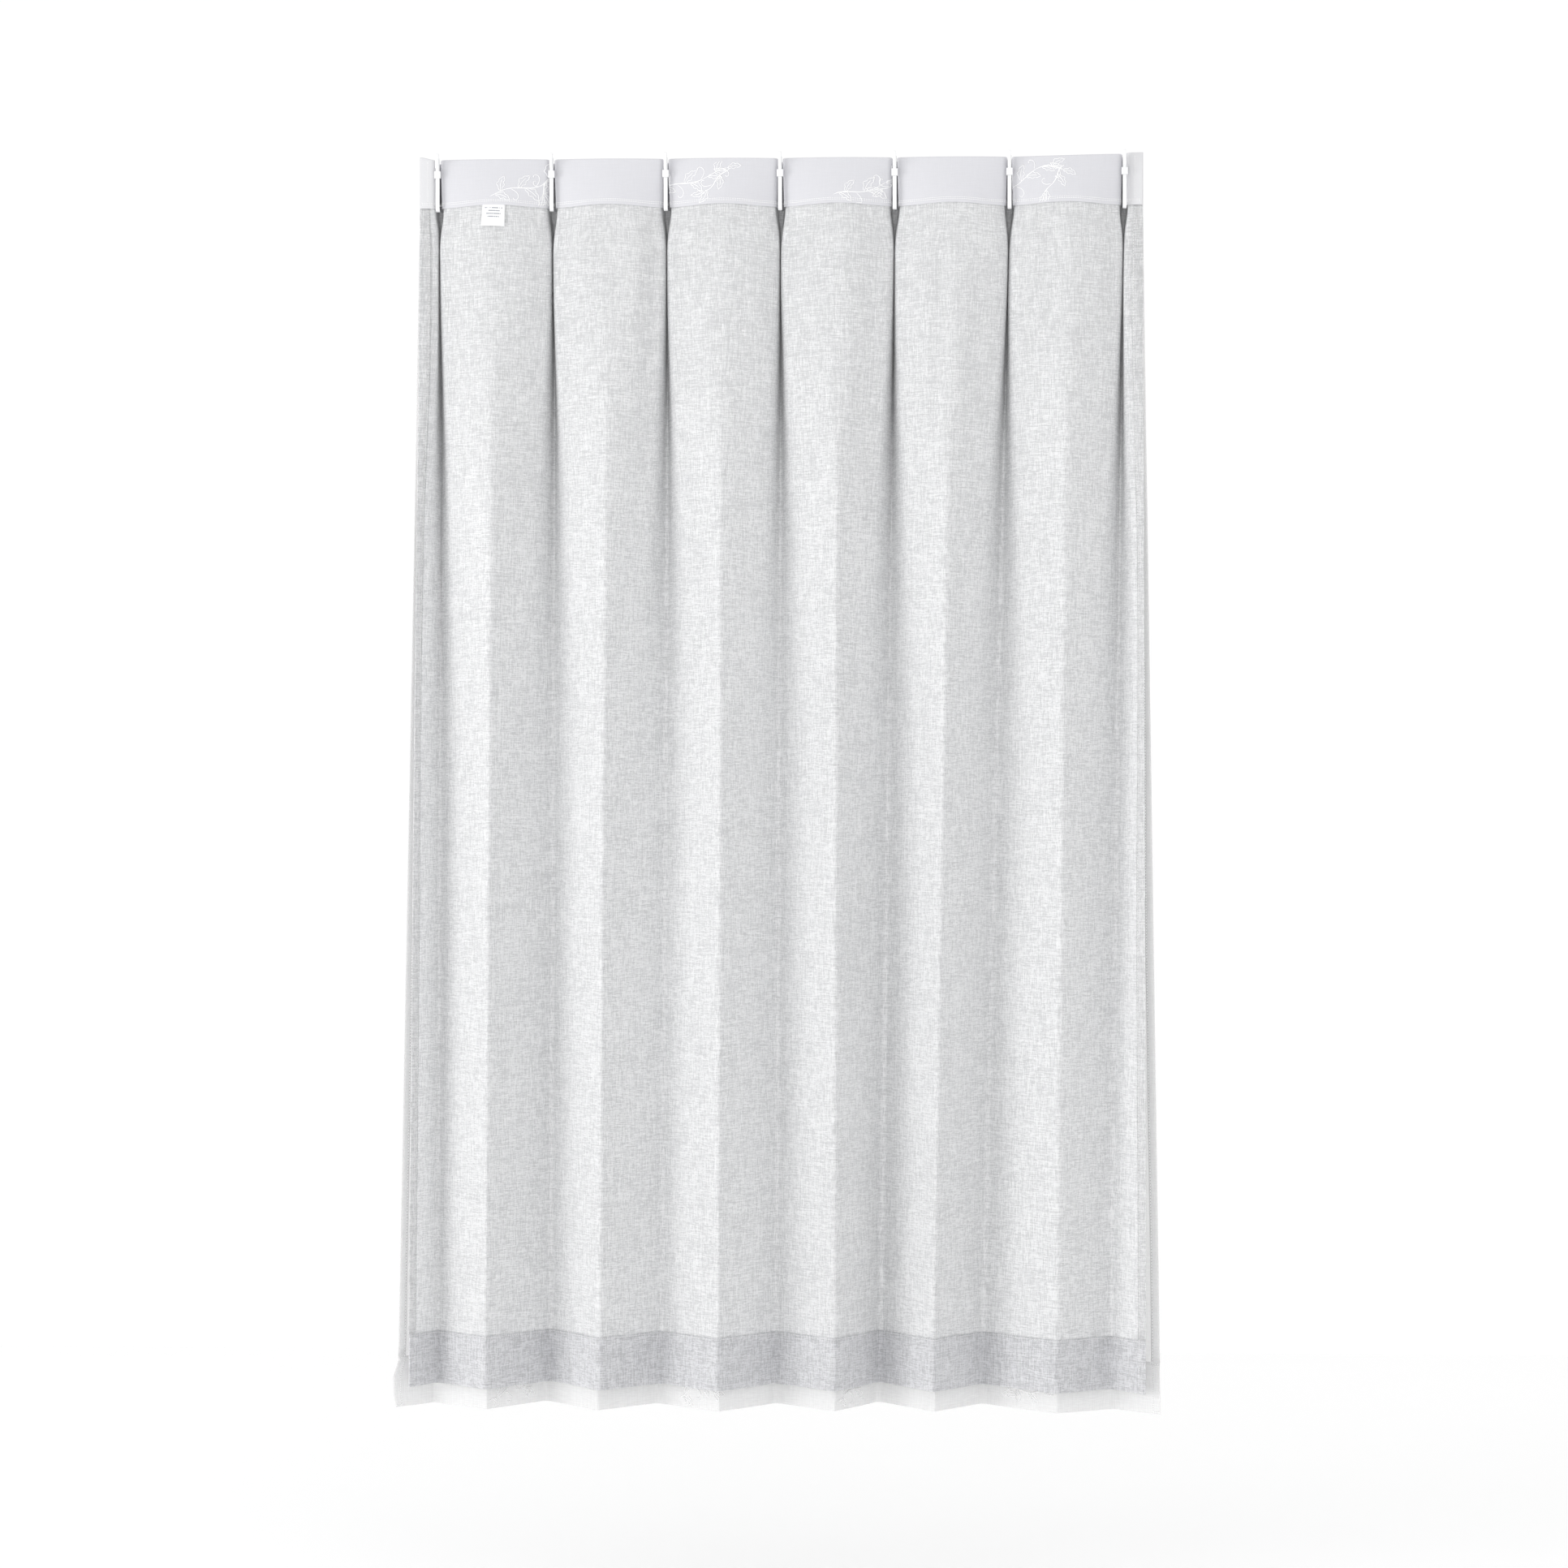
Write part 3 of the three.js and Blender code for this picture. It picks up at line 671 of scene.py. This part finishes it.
def paint_thread(name, dark, light, gloss):
    """Twisted thread with a soft shine."""
    thread = Finish(name, gloss, sheen=0.25, sheen_roughness=0.3, specular_ior_level=0.5)
    x, y, z = thread.place()
    twist = ((x + y * 0.7 + z) * (2 * math.pi / 0.7)).sine() * 0.5 + 0.5
    fuzz = thread.noise(x * 1.4, y * 1.4, z * 1.4, 2.0)
    thread.set_shader(base_color=thread.colour(dark, light, twist * 0.5 + fuzz * 0.5))
    thread.set_shader(roughness=fuzz * 0.2 + (gloss - 0.1))
    thread.bump(twist, 0.0001, 0.4)
    return thread.material


LABEL_ROW = 4.2  # mm from one row of bars to the next


def paint_label(middle, top):
    """White satin with rows of broken printed bars, which say nothing."""
    satin = Finish("label_satin", 0.45, sheen=0.15, specular_ior_level=0.5)
    u, v, _ = satin.place("cloth")
    down = top * 1000 - v
    row = down.maths("SNAP", down, LABEL_ROW)
    reach = satin.noise(row * 0.37, 3.0) * 24 - 3.5
    words = satin.noise(u * 0.55, row * 1.3).over(0.40, 0.44)
    off_middle = u - middle * 1000
    across = off_middle.maths("ABSOLUTE", off_middle)
    in_row = (down - row).over(1.0, 1.1) * (down - row).over(2.6, 2.5)
    printed = in_row * across.over(reach + 0.3, reach) * down.over(5.0, 5.2) * down.over(21, 20.8) * words
    thread = streaks(satin, v, u, 0.4, 20.0, 2.5)
    white = satin.colour((0.82, 0.83, 0.84), (0.93, 0.93, 0.93), thread)
    satin.set_shader(base_color=satin.colour(white, (0.25, 0.26, 0.30), printed * 0.85))
    satin.bump(thread, 0.0001, 0.4)
    return satin.material


def paint_plastic():
    """White moulded plastic: a soft gloss, faint flow marks, and a little uneven roughness."""
    plastic = Finish("white_moulded_plastic", 0.3, specular_ior_level=0.5, coat_weight=0.15)
    x, y, z = plastic.place()
    flow = plastic.noise(x * 0.25, y * 0.25, z * 0.06, 3.0)
    grain = plastic.noise(x * 4.0, y * 4.0, z * 4.0, 2.0)
    plastic.set_shader(base_color=plastic.colour((0.80, 0.81, 0.82), (0.90, 0.90, 0.90), flow))
    plastic.set_shader(roughness=flow * 0.18 + grain * 0.08 + 0.2)
    plastic.bump(grain * 0.5 + flow * 0.5, 0.00008, 0.35)
    return plastic.material


def paint_floor():
    floor = Finish("studio_floor", 0.85, specular_ior_level=0.2)
    x, y, _ = floor.place()
    tone = floor.noise(x * 0.002, y * 0.002, 0.0, 3.0)
    floor.set_shader(base_color=floor.colour((0.975, 0.975, 0.975), (0.985, 0.985, 0.985), tone))
    return floor.material


# ---- Cloth pieces ---------------------------------------------------------------------------

GREY_LAYER, SHEER_LAYER = 0.0, 2 * LAYER
BAND_LAYER, TAPE_LAYER, SHEER_HEM_LAYER = -2 * LAYER, -LAYER, LAYER


def panel_profile(hanging, layer, top, foot, hem_top, thickness):
    """Down the panel, round its lower edge and up the hem on the window side."""
    radius = LAYER / 2
    edge = foot + radius + thickness / 2
    down = [(z, layer) for z in rows_between(hanging, top, edge + 3 * MM)]
    round_foot = fold_round(edge, layer - radius, radius, 0, -180)
    up = [(z, layer - LAYER) for z in rows_between(hanging, hem_top, edge + 3 * MM)[::-1]]
    return down + round_foot + up


def side_hem(name, hanging, edge, inward, rows, layer, thickness):
    """A hem strip folded round a panel's side edge on to its window side."""
    radius = LAYER / 2
    turn = np.radians(np.linspace(-90, 90, 7))
    reach = np.concatenate([[SIDE_HEM, SIDE_HEM * 0.66, SIDE_HEM * 0.33], radius * (1 - np.cos(turn))])
    offset = np.concatenate([np.full(3, layer - LAYER), layer - radius + radius * np.sin(turn)])
    run = np.gradient(np.stack([reach, offset], -1), axis=0)
    run /= np.linalg.norm(run, axis=1, keepdims=True)
    aside = np.stack([-run[:, 1], run[:, 0]], -1) * thickness / 2
    faces = []
    for sign in (1, -1):
        across = edge + inward * (reach + sign * aside[:, 0])
        faces.append(hanging.at(across[None, :], rows[:, None], (offset + sign * aside[:, 1])[None, :]))
    order = slice(None) if inward < 0 else slice(None, None, -1)
    points = np.stack(faces)[:, :, order]
    u = edge + inward * reach[order]
    flat = np.stack(np.broadcast_arrays(u[None, :], rows[:, None], 0.0), -1)
    return new_piece(name, points, shell_faces(len(rows), len(reach)), np.stack([flat, flat]))


def inner_columns(columns):
    """The panel's columns between its side hems' folded edges."""
    margin = 0.8 * MM
    inside = columns[(columns > 1.5 * MM) & (columns < CLOTH_WIDTH - 1.5 * MM)]
    return np.concatenate([[margin], inside, [CLOTH_WIDTH - margin]])


def make_panel(kind, hanging, columns, layer, foot, thickness):
    """A panel with its bottom hem in one cloth, and its two side hems."""
    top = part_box(kind + "_panel")[1].z - (2.2 * MM if kind == "sheer" else 0)
    hem_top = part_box(kind + "_bottom_hem")[1].z
    profile = panel_profile(hanging, layer, top, foot, hem_top, thickness)
    cloth = cloth_strip(kind + "_cloth", hanging, inner_columns(columns), profile, thickness)
    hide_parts(kind + "_panel", kind + "_bottom_hem")
    hems = []
    for side, edge, inward in (("left", 0.0, 1), ("right", CLOTH_WIDTH, -1)):
        low, high = box_z(f"{kind}_side_hem_{side}")
        rows = rows_between(hanging, high, low)
        hem = side_hem(f"{kind}_side_fold_{side}", hanging, edge, inward, rows, layer, thickness)
        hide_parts(f"{kind}_side_hem_{side}")
        hems.append(hem)
    return cloth, hems


def make_heading(hanging, columns):
    """The sheer turned over the heading to the window side, its lower edge tucked under."""
    radius = SHEER_LAYER
    crest = HEADING_TOP - radius - SHEER_THICK / 2
    tuck = 0.28 * MM
    edge = HEADING_FOOT + tuck + SHEER_THICK / 2
    back = [(crest - 2.4 * MM, SHEER_LAYER)]
    over = fold_round(crest, 0.0, radius, 0, 180, 11)
    front = [(z, BAND_LAYER) for z in rows_between(hanging, crest - 3 * MM, edge + 2 * MM)]
    under = fold_round(edge, BAND_LAYER + tuck, tuck, -180, 0, 5)
    inside = [(edge + 4 * MM, BAND_LAYER + 2 * tuck), (edge + 9 * MM, BAND_LAYER + 2 * tuck)]
    profile = back + over + front + under + inside
    band = cloth_strip("heading_cloth", hanging, columns, profile, SHEER_THICK)
    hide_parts("header_band")
    low, high = box_z("header_tape")
    tape_rows = [(z, TAPE_LAYER) for z in rows_between(hanging, high - radius, low + 3 * MM)]
    tape = cloth_strip("heading_stiffener", hanging, inner_columns(columns), tape_rows, 0.4 * MM)
    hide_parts("header_tape")
    return band, tape


def make_label(hanging):
    """A folded satin label sewn in under the heading, a little askew and lifting at its foot."""
    low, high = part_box("care_label")
    middle = FOLD_U[2] + (low.x + high.x) / 2 - FOLD_X[2]
    width, lean = high.x - low.x, 0.035
    fold = 0.45 * MM
    top, foot = high.z, low.z + fold + 0.1 * MM
    rows = np.linspace(top, foot + 1 * MM, 12)
    lift = -(0.5 + 2.6 * ((top - rows) / (top - foot)) ** 1.7) * MM
    out = TAPE_LAYER + 0.45 * MM + lift
    window = [(z, o - fold) for z, o in zip(rows, out)]
    turn = fold_round(foot, out[-1], fold, -180, 0, 7)
    room = [(z, o + fold * 0.8) for z, o in zip(rows[::-1], out[::-1])]
    u = np.linspace(middle - width / 2, middle + width / 2, 15)
    label = cloth_strip("satin_label", hanging, u, window + turn + room, 0.18 * MM)
    lean_label(label, low.x + width / 2, top, lean)
    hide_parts("care_label")
    return label, middle, top


def lean_label(label, middle, top, lean):
    for vertex in label.data.vertices:
        x, z = vertex.co.x - middle, vertex.co.z - top
        vertex.co.x += lean * z
        vertex.co.z -= lean * x


# ---- Stitching and embroidery ---------------------------------------------------------------

def make_heading_stitches(hanging):
    """Two rows of machine stitching that hold the tape, and one down each end."""
    face = BAND_LAYER - SHEER_THICK / 2 - THREAD * 0.3
    lines = []
    for z in (HEADING_FOOT + 5.2 * MM, HEADING_FOOT + 7.6 * MM):
        lines += running_stitches(hanging, (3 * MM, z), (CLOTH_WIDTH - 3 * MM, z), face)
    for edge, inward in ((0.0, 1), (CLOTH_WIDTH, -1)):
        u = edge + inward * 11.5 * MM
        start = (u, HEADING_TOP - 5 * MM)
        lines += running_stitches(hanging, start, (u, HEADING_FOOT + 9 * MM), face)
    return sweep_threads("heading_stitching", lines, 1.35 * THREAD)


def make_hem_stitches(kind, hanging, layer, foot, hem_top, thickness):
    """A row of stitches along the top of the bottom hem and one down each side hem."""
    face = layer - LAYER - thickness / 2 - THREAD * 0.25
    seam = hem_top - 2.5 * MM
    start, end = (2 * MM, seam), (CLOTH_WIDTH - 2 * MM, seam)
    lines = running_stitches(hanging, start, end, face, 3.6 * MM)
    for edge, inward in ((0.0, 1), (CLOTH_WIDTH, -1)):
        u = edge + inward * (SIDE_HEM - 2.5 * MM)
        lines += running_stitches(hanging, (u, HEADING_FOOT - 2 * MM), (u, seam), face, 4.2 * MM)
        end = edge + inward * 1.5 * MM
        for z in (foot + 2.5 * MM, seam - 2.5 * MM):
            lines += running_stitches(hanging, (u, z), (end, z), face, 2.4 * MM)
        lines += running_stitches(hanging, (u, foot + 2.5 * MM), (u, seam - 2.5 * MM), face)
    return sweep_threads(kind + "_hem_stitching", lines, THREAD)


def lobed_leaf(base, heading, size):
    """A leaf in outline stitch: two lobed edges and a rib, as lines of (u, z) points."""
    along = np.array([math.cos(heading), math.sin(heading)])
    aside = np.array([-along[1], along[0]])
    share = np.linspace(0, 1, 13)
    half = 0.19 * size * np.sin(math.pi * share**0.85) * (1 + 0.28 * np.sin(share * 6 * math.pi))
    curl = 0.10 * size * np.sin(math.pi * share)
    rib = base + np.outer(share * size, along) + np.outer(curl, aside)
    return [rib + np.outer(half, aside), rib - np.outer(half, aside), rib[:10]]


def tendril(base, heading, size, turn):
    """A stem's curling side shoot, as a line of (u, z) points."""
    share = np.linspace(0, 1, 18)
    angle = heading + turn * 4.6 * share**1.6
    step = 1.9 * size / 17 * (1 - 0.75 * share)
    return np.cumsum(np.stack([np.cos(angle), np.sin(angle)], -1) * step[:, None], 0) + base


def sprig(base, heading, height, leaves, seed, scale=1.0):
    """A curling leafy stem worked in lines of (u, z) points."""
    rng = np.random.RandomState(seed)
    shares = np.linspace(0, 1, 26)
    bend = rng.uniform(0.5, 0.9) * rng.choice([-1, 1])
    angle = heading + bend * (shares - 0.4) + 0.4 * np.sin(shares * 7 + seed)
    step = height / 25
    path = np.cumsum(np.stack([np.cos(angle), np.sin(angle)], -1) * step, 0) + base
    lines = [path, path + np.array([0.9, 0.5]) * MM]
    for i, share in enumerate(np.linspace(0.08, 0.95, leaves)):
        k = int(share * 25)
        side = 1 if i % 2 else -1
        size = scale * (25 - 12 * abs(share - 0.45)) * MM * rng.uniform(0.85, 1.15)
        if i % 3 == 2:
            lines.append(tendril(path[k], angle[k] + side * 0.6, size, side))
        else:
            lines += lobed_leaf(path[k], angle[k] + side * (0.95 - 0.4 * share), size)
    return lines + lobed_leaf(path[-1], angle[-1], scale * 20 * MM)


def inside(points, top, foot):
    points = np.asarray(points)
    fits = (points[:, 0] > 16 * MM) & (points[:, 0] < CLOTH_WIDTH - 16 * MM)
    return bool(np.all(fits & (points[:, 1] < top) & (points[:, 1] > foot)))


def embroider(name, hanging, sprigs, face, outward, top, foot):
    """Sprigs in raised thread on one face of the cloth, kept between two heights."""
    lines = []
    for line in (line for found in sprigs for line in found):
        worked = np.array([p for p in line if inside([p], top, foot)])
        if len(worked) > 3:
            u, z = worked.T
            lines.append(laid_line(hanging, u, z, face + outward * 0.15 * MM))
    return sweep_threads(name, lines, FLOSS)


SPRIG_U = (0.222, 0.620, 0.950, 1.335)  # cloth positions of the columns of sprigs
SPRIG_DROP = 0.37


def heading_sprigs():
    """The ends of sprigs that cross the turned-over heading."""
    found = []
    for i, u in enumerate(SPRIG_U):
        lean = 0.35 + 0.15 * math.sin(3 * i)
        base = np.array([u - 45 * MM, HEADING_FOOT + (10 + 6 * (i % 2)) * MM])
        found.append(sprig(base, lean, 0.11, 9, 20 + i))
        base = np.array([u + 62 * MM, HEADING_TOP - 14 * MM])
        found.append(sprig(base, lean + math.pi + 0.5, 0.05, 4, 40 + i))
    return found


def panel_sprigs():
    """Columns of sprigs down the sheer, each column set half a step from the next."""
    found = []
    for i, u in enumerate(SPRIG_U):
        z = HEADING_FOOT - (0.20 if i % 2 else 0.37)
        while z > SHEER_FOOT + 0.02:
            base = np.array([u, z - 0.12])
            lean = math.pi / 2 + 0.12 * math.sin(5 * i + 9 * z)
            found.append(sprig(base, lean, 0.27, 17, 60 + i, 1.7))
            z -= SPRIG_DROP
    return found


def hem_sprigs():
    """What shows of the sprigs on the sheer's turned-up hem."""
    found = []
    for i, u in enumerate(SPRIG_U):
        base = np.array([u - 30 * MM, SHEER_FOOT + 12 * MM])
        found.append(sprig(base, 0.25, 0.08, 7, 80 + i))
    return found


def make_tack(number):
    """A bar tack of thread strands across a pleat, bound round its middle."""
    low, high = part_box(f"pleat_tack_{number}")
    middle, half = (low + high) / 2, (high - low) / 2
    rng = np.random.RandomState(number)
    lines = []
    across = np.linspace(-half.x - 0.3 * MM, half.x + 0.3 * MM, 9)
    for angle in np.linspace(0, 2 * math.pi, 11)[:-1]:
        y = middle.y + 0.72 * half.y * math.cos(angle) * rng.uniform(0.8, 1)
        z = middle.z + 0.72 * half.z * math.sin(angle) * rng.uniform(0.8, 1)
        sag = 0.2 * MM * np.cos(across / half.x * math.pi / 2)
        line = np.stack([middle.x + across, np.full(9, y), z - sag], -1)
        lines.append((line, np.tile([0.0, 1.0, 0.0], (9, 1))))
    for turn in np.linspace(-0.75, 0.75, 9) * half.x:
        angle = np.linspace(0, 2 * math.pi, 13)
        ring = np.stack([
            middle.x + turn + 0.25 * MM * angle / 6,
            middle.y + 0.9 * half.y * np.cos(angle),
            middle.z + 0.9 * half.z * np.sin(angle),
        ], -1)
        lines.append((ring, np.tile([1.0, 0.0, 0.0], (13, 1))))
    tack = sweep_threads(f"bar_tack_{number}", lines, THREAD)
    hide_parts(f"pleat_tack_{number}")
    return tack


# ---- Hooks ----------------------------------------------------------------------------------

def rounded_copy(name, node, width):
    """The node's shape with its flat faces made whole and its edges rounded."""
    mesh = bmesh.new()
    mesh.from_mesh(frame["nodes"][node].data)
    bmesh.ops.remove_doubles(mesh, verts=mesh.verts, dist=1e-6)
    flat = math.radians(3)
    bmesh.ops.dissolve_limit(mesh, angle_limit=flat, verts=mesh.verts, edges=mesh.edges)
    sharp = [e for e in mesh.edges if len(e.link_faces) == 2 and e.calc_face_angle(0) > math.radians(35)]
    bmesh.ops.bevel(
        mesh, geom=sharp, offset=width, segments=2, profile=0.6, affect="EDGES", clamp_overlap=True,
    )
    bmesh.ops.triangulate(mesh, faces=[f for f in mesh.faces if len(f.verts) > 4])
    data = bpy.data.meshes.new(name)
    mesh.to_mesh(data)
    mesh.free()
    data.shade_smooth()
    piece = bpy.data.objects.new(name, data)
    scene.collection.objects.link(piece)
    sharpen(piece)
    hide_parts(node)
    return piece


def sharpen(piece, angle=38):
    """Keep edges sharper than an angle crisp in a smooth-shaded mesh."""
    piece.data.set_sharp_from_angle(angle=math.radians(angle))


def add_blocks(piece, blocks):
    """Small wedge teeth joined on to a piece, each as (low corner, high corner)."""
    mesh = bmesh.new()
    mesh.from_mesh(piece.data)
    for low, high in blocks:
        corners = []
        for x in (low[0], high[0]):
            for y, z in ((high[1], low[2]), (high[1], high[2]), (low[1], mix(low[2], high[2], 0.35))):
                corners.append(mesh.verts.new((x, y, z)))
        a, b, c, d, e, f = corners
        for face in ((a, c, b), (d, e, f), (a, d, f, c), (c, f, e, b), (a, b, e, d)):
            mesh.faces.new(face)
    mesh.normal_update()
    mesh.to_mesh(piece.data)
    mesh.free()
    sharpen(piece)


def make_hook(number):
    """A hook's stem with ratchet teeth down its bar, and the slider that grips them."""
    x = HOOK_X[number - 1]
    stem = rounded_copy(f"hook_bar_{number}", f"hook_stem_{number}", 0.35 * MM)
    low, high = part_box(f"hook_stem_{number}")
    front = low.y
    half = (high.x - low.x) / 2 - 0.9 * MM
    pitch = 2.0 * MM
    tops = np.arange(high.z - 6 * MM, low.z + 14 * MM, -pitch)
    blocks = [((x - half, front - 0.28 * MM, z - pitch), (x + half, front + 0.05 * MM, z)) for z in tops]
    add_blocks(stem, blocks)
    slider = rounded_copy(f"hook_slide_{number}", f"hook_slider_{number}", 0.4 * MM)
    return stem, slider


# ---- The curtain ----------------------------------------------------------------------------

def finish_piece(piece, material):
    piece.data.materials.clear()
    piece.data.materials.append(material)
    return piece


def gather_with_draw(piece):
    """Attaches the piece to the curtain body and gives it a mesh of its own."""
    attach(piece, "curtain")
    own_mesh(piece)


def build_curtain():
    columns = cloth_columns()
    grey_hanging = Hanging(columns, cloth_rows(GREY_FOOT), NO_DRIFT, GREY_FOOT, 0.0)
    sheer_hanging = Hanging(columns, cloth_rows(SHEER_FOOT), SHEER_DRIFT, SHEER_FOOT, SHEER_AIR)

    grey, grey_hems = make_panel("grey", grey_hanging, columns, GREY_LAYER, GREY_FOOT, GREY_THICK)
    sheer, sheer_hems = make_panel("sheer", sheer_hanging, columns, SHEER_LAYER, SHEER_FOOT, SHEER_THICK)
    band, tape = make_heading(grey_hanging, columns)
    label, label_middle, label_top = make_label(grey_hanging)

    heading_stitches = make_heading_stitches(grey_hanging)
    grey_stitches = make_hem_stitches("grey", grey_hanging, GREY_LAYER, GREY_FOOT, GREY_HEM_TOP, GREY_THICK)
    sheer_stitches = make_hem_stitches(
        "sheer", sheer_hanging, SHEER_LAYER, SHEER_FOOT, SHEER_HEM_TOP, SHEER_THICK)
    window_face = BAND_LAYER - SHEER_THICK / 2
    heading_embroidery = embroider(
        "heading_embroidery", grey_hanging, heading_sprigs(), window_face, -1,
        HEADING_TOP - 4 * MM, HEADING_FOOT + 1 * MM)
    room_face = SHEER_LAYER + SHEER_THICK / 2
    sheer_embroidery = embroider(
        "sheer_embroidery", sheer_hanging, panel_sprigs(), room_face, 1,
        HEADING_TOP - 6 * MM, SHEER_FOOT + 2 * MM)
    hem_face = SHEER_HEM_LAYER - SHEER_THICK / 2
    hem_embroidery = embroider(
        "hem_embroidery", sheer_hanging, hem_sprigs(), hem_face, -1,
        SHEER_HEM_TOP - 6 * MM, SHEER_FOOT + 3 * MM)

    grey_finish = paint_grey_cloth()
    sheer_finish = paint_voile("white_voile", 0.38, (0.90, 0.90, 0.902), 0.97, (0.90, 0.90, 0.902))
    heading_finish = paint_voile(
        "voile_over_stiffener", 1.0, (0.67, 0.67, 0.70), 0.94, (0.69, 0.69, 0.705))
    sewing = paint_thread("sewing_thread", (0.88, 0.88, 0.88), (0.96, 0.96, 0.96), 0.5)
    floss = paint_thread("embroidery_floss", (0.93, 0.93, 0.93), (0.98, 0.98, 0.98), 0.45)

    for piece in (grey, *grey_hems):
        finish_piece(piece, grey_finish)
    for piece in (sheer, *sheer_hems):
        finish_piece(piece, sheer_finish)
    finish_piece(band, heading_finish)
    finish_piece(tape, paint_tape())
    for piece in (heading_stitches, grey_stitches, sheer_stitches):
        finish_piece(piece, sewing)
    embroidery = (heading_embroidery, sheer_embroidery, hem_embroidery)
    for piece in embroidery:
        finish_piece(piece, floss)

    cloth = (grey, *grey_hems, sheer, *sheer_hems, band, tape)
    for piece in cloth + (heading_stitches, grey_stitches, sheer_stitches) + embroidery:
        gather_with_draw(piece)

    finish_piece(label, paint_label(label_middle, label_top))
    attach(label, "label")
    return {
        "grey": (grey, grey_hems + [grey_stitches]),
        "sheer": (sheer, sheer_hems + [sheer_stitches, sheer_embroidery, hem_embroidery]),
        "heading": (band, [heading_stitches, heading_embroidery]),
        "tape": (tape, []),
        "label": (label, []),
    }, sewing


def build_hooks(sewing):
    plastic = paint_plastic()
    for number in range(1, HOOKS + 1):
        stem, slider = make_hook(number)
        body = "curtain" if number == 1 else f"hook_{number}"
        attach(finish_piece(stem, plastic), body)
        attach(finish_piece(slider, plastic), f"slider_{number}")
        tack = finish_piece(make_tack(number), sewing)
        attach(tack, body)
        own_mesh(tack)


def lay_floor():
    mesh = bpy.data.meshes.new("floor")
    half, level = 3.0, -2.05
    corners = [(-half, -half, level), (half, -half, level), (half, half, level), (-half, half, level)]
    mesh.from_pydata(corners, [], [(0, 1, 2, 3)])
    floor = bpy.data.objects.new("floor", mesh)
    floor.data.materials.append(paint_floor())
    scene.collection.objects.link(floor)


set_camera()
light_studio()
curtain_sheets, sewing_finish = build_curtain()
build_hooks(sewing_finish)
lay_floor()
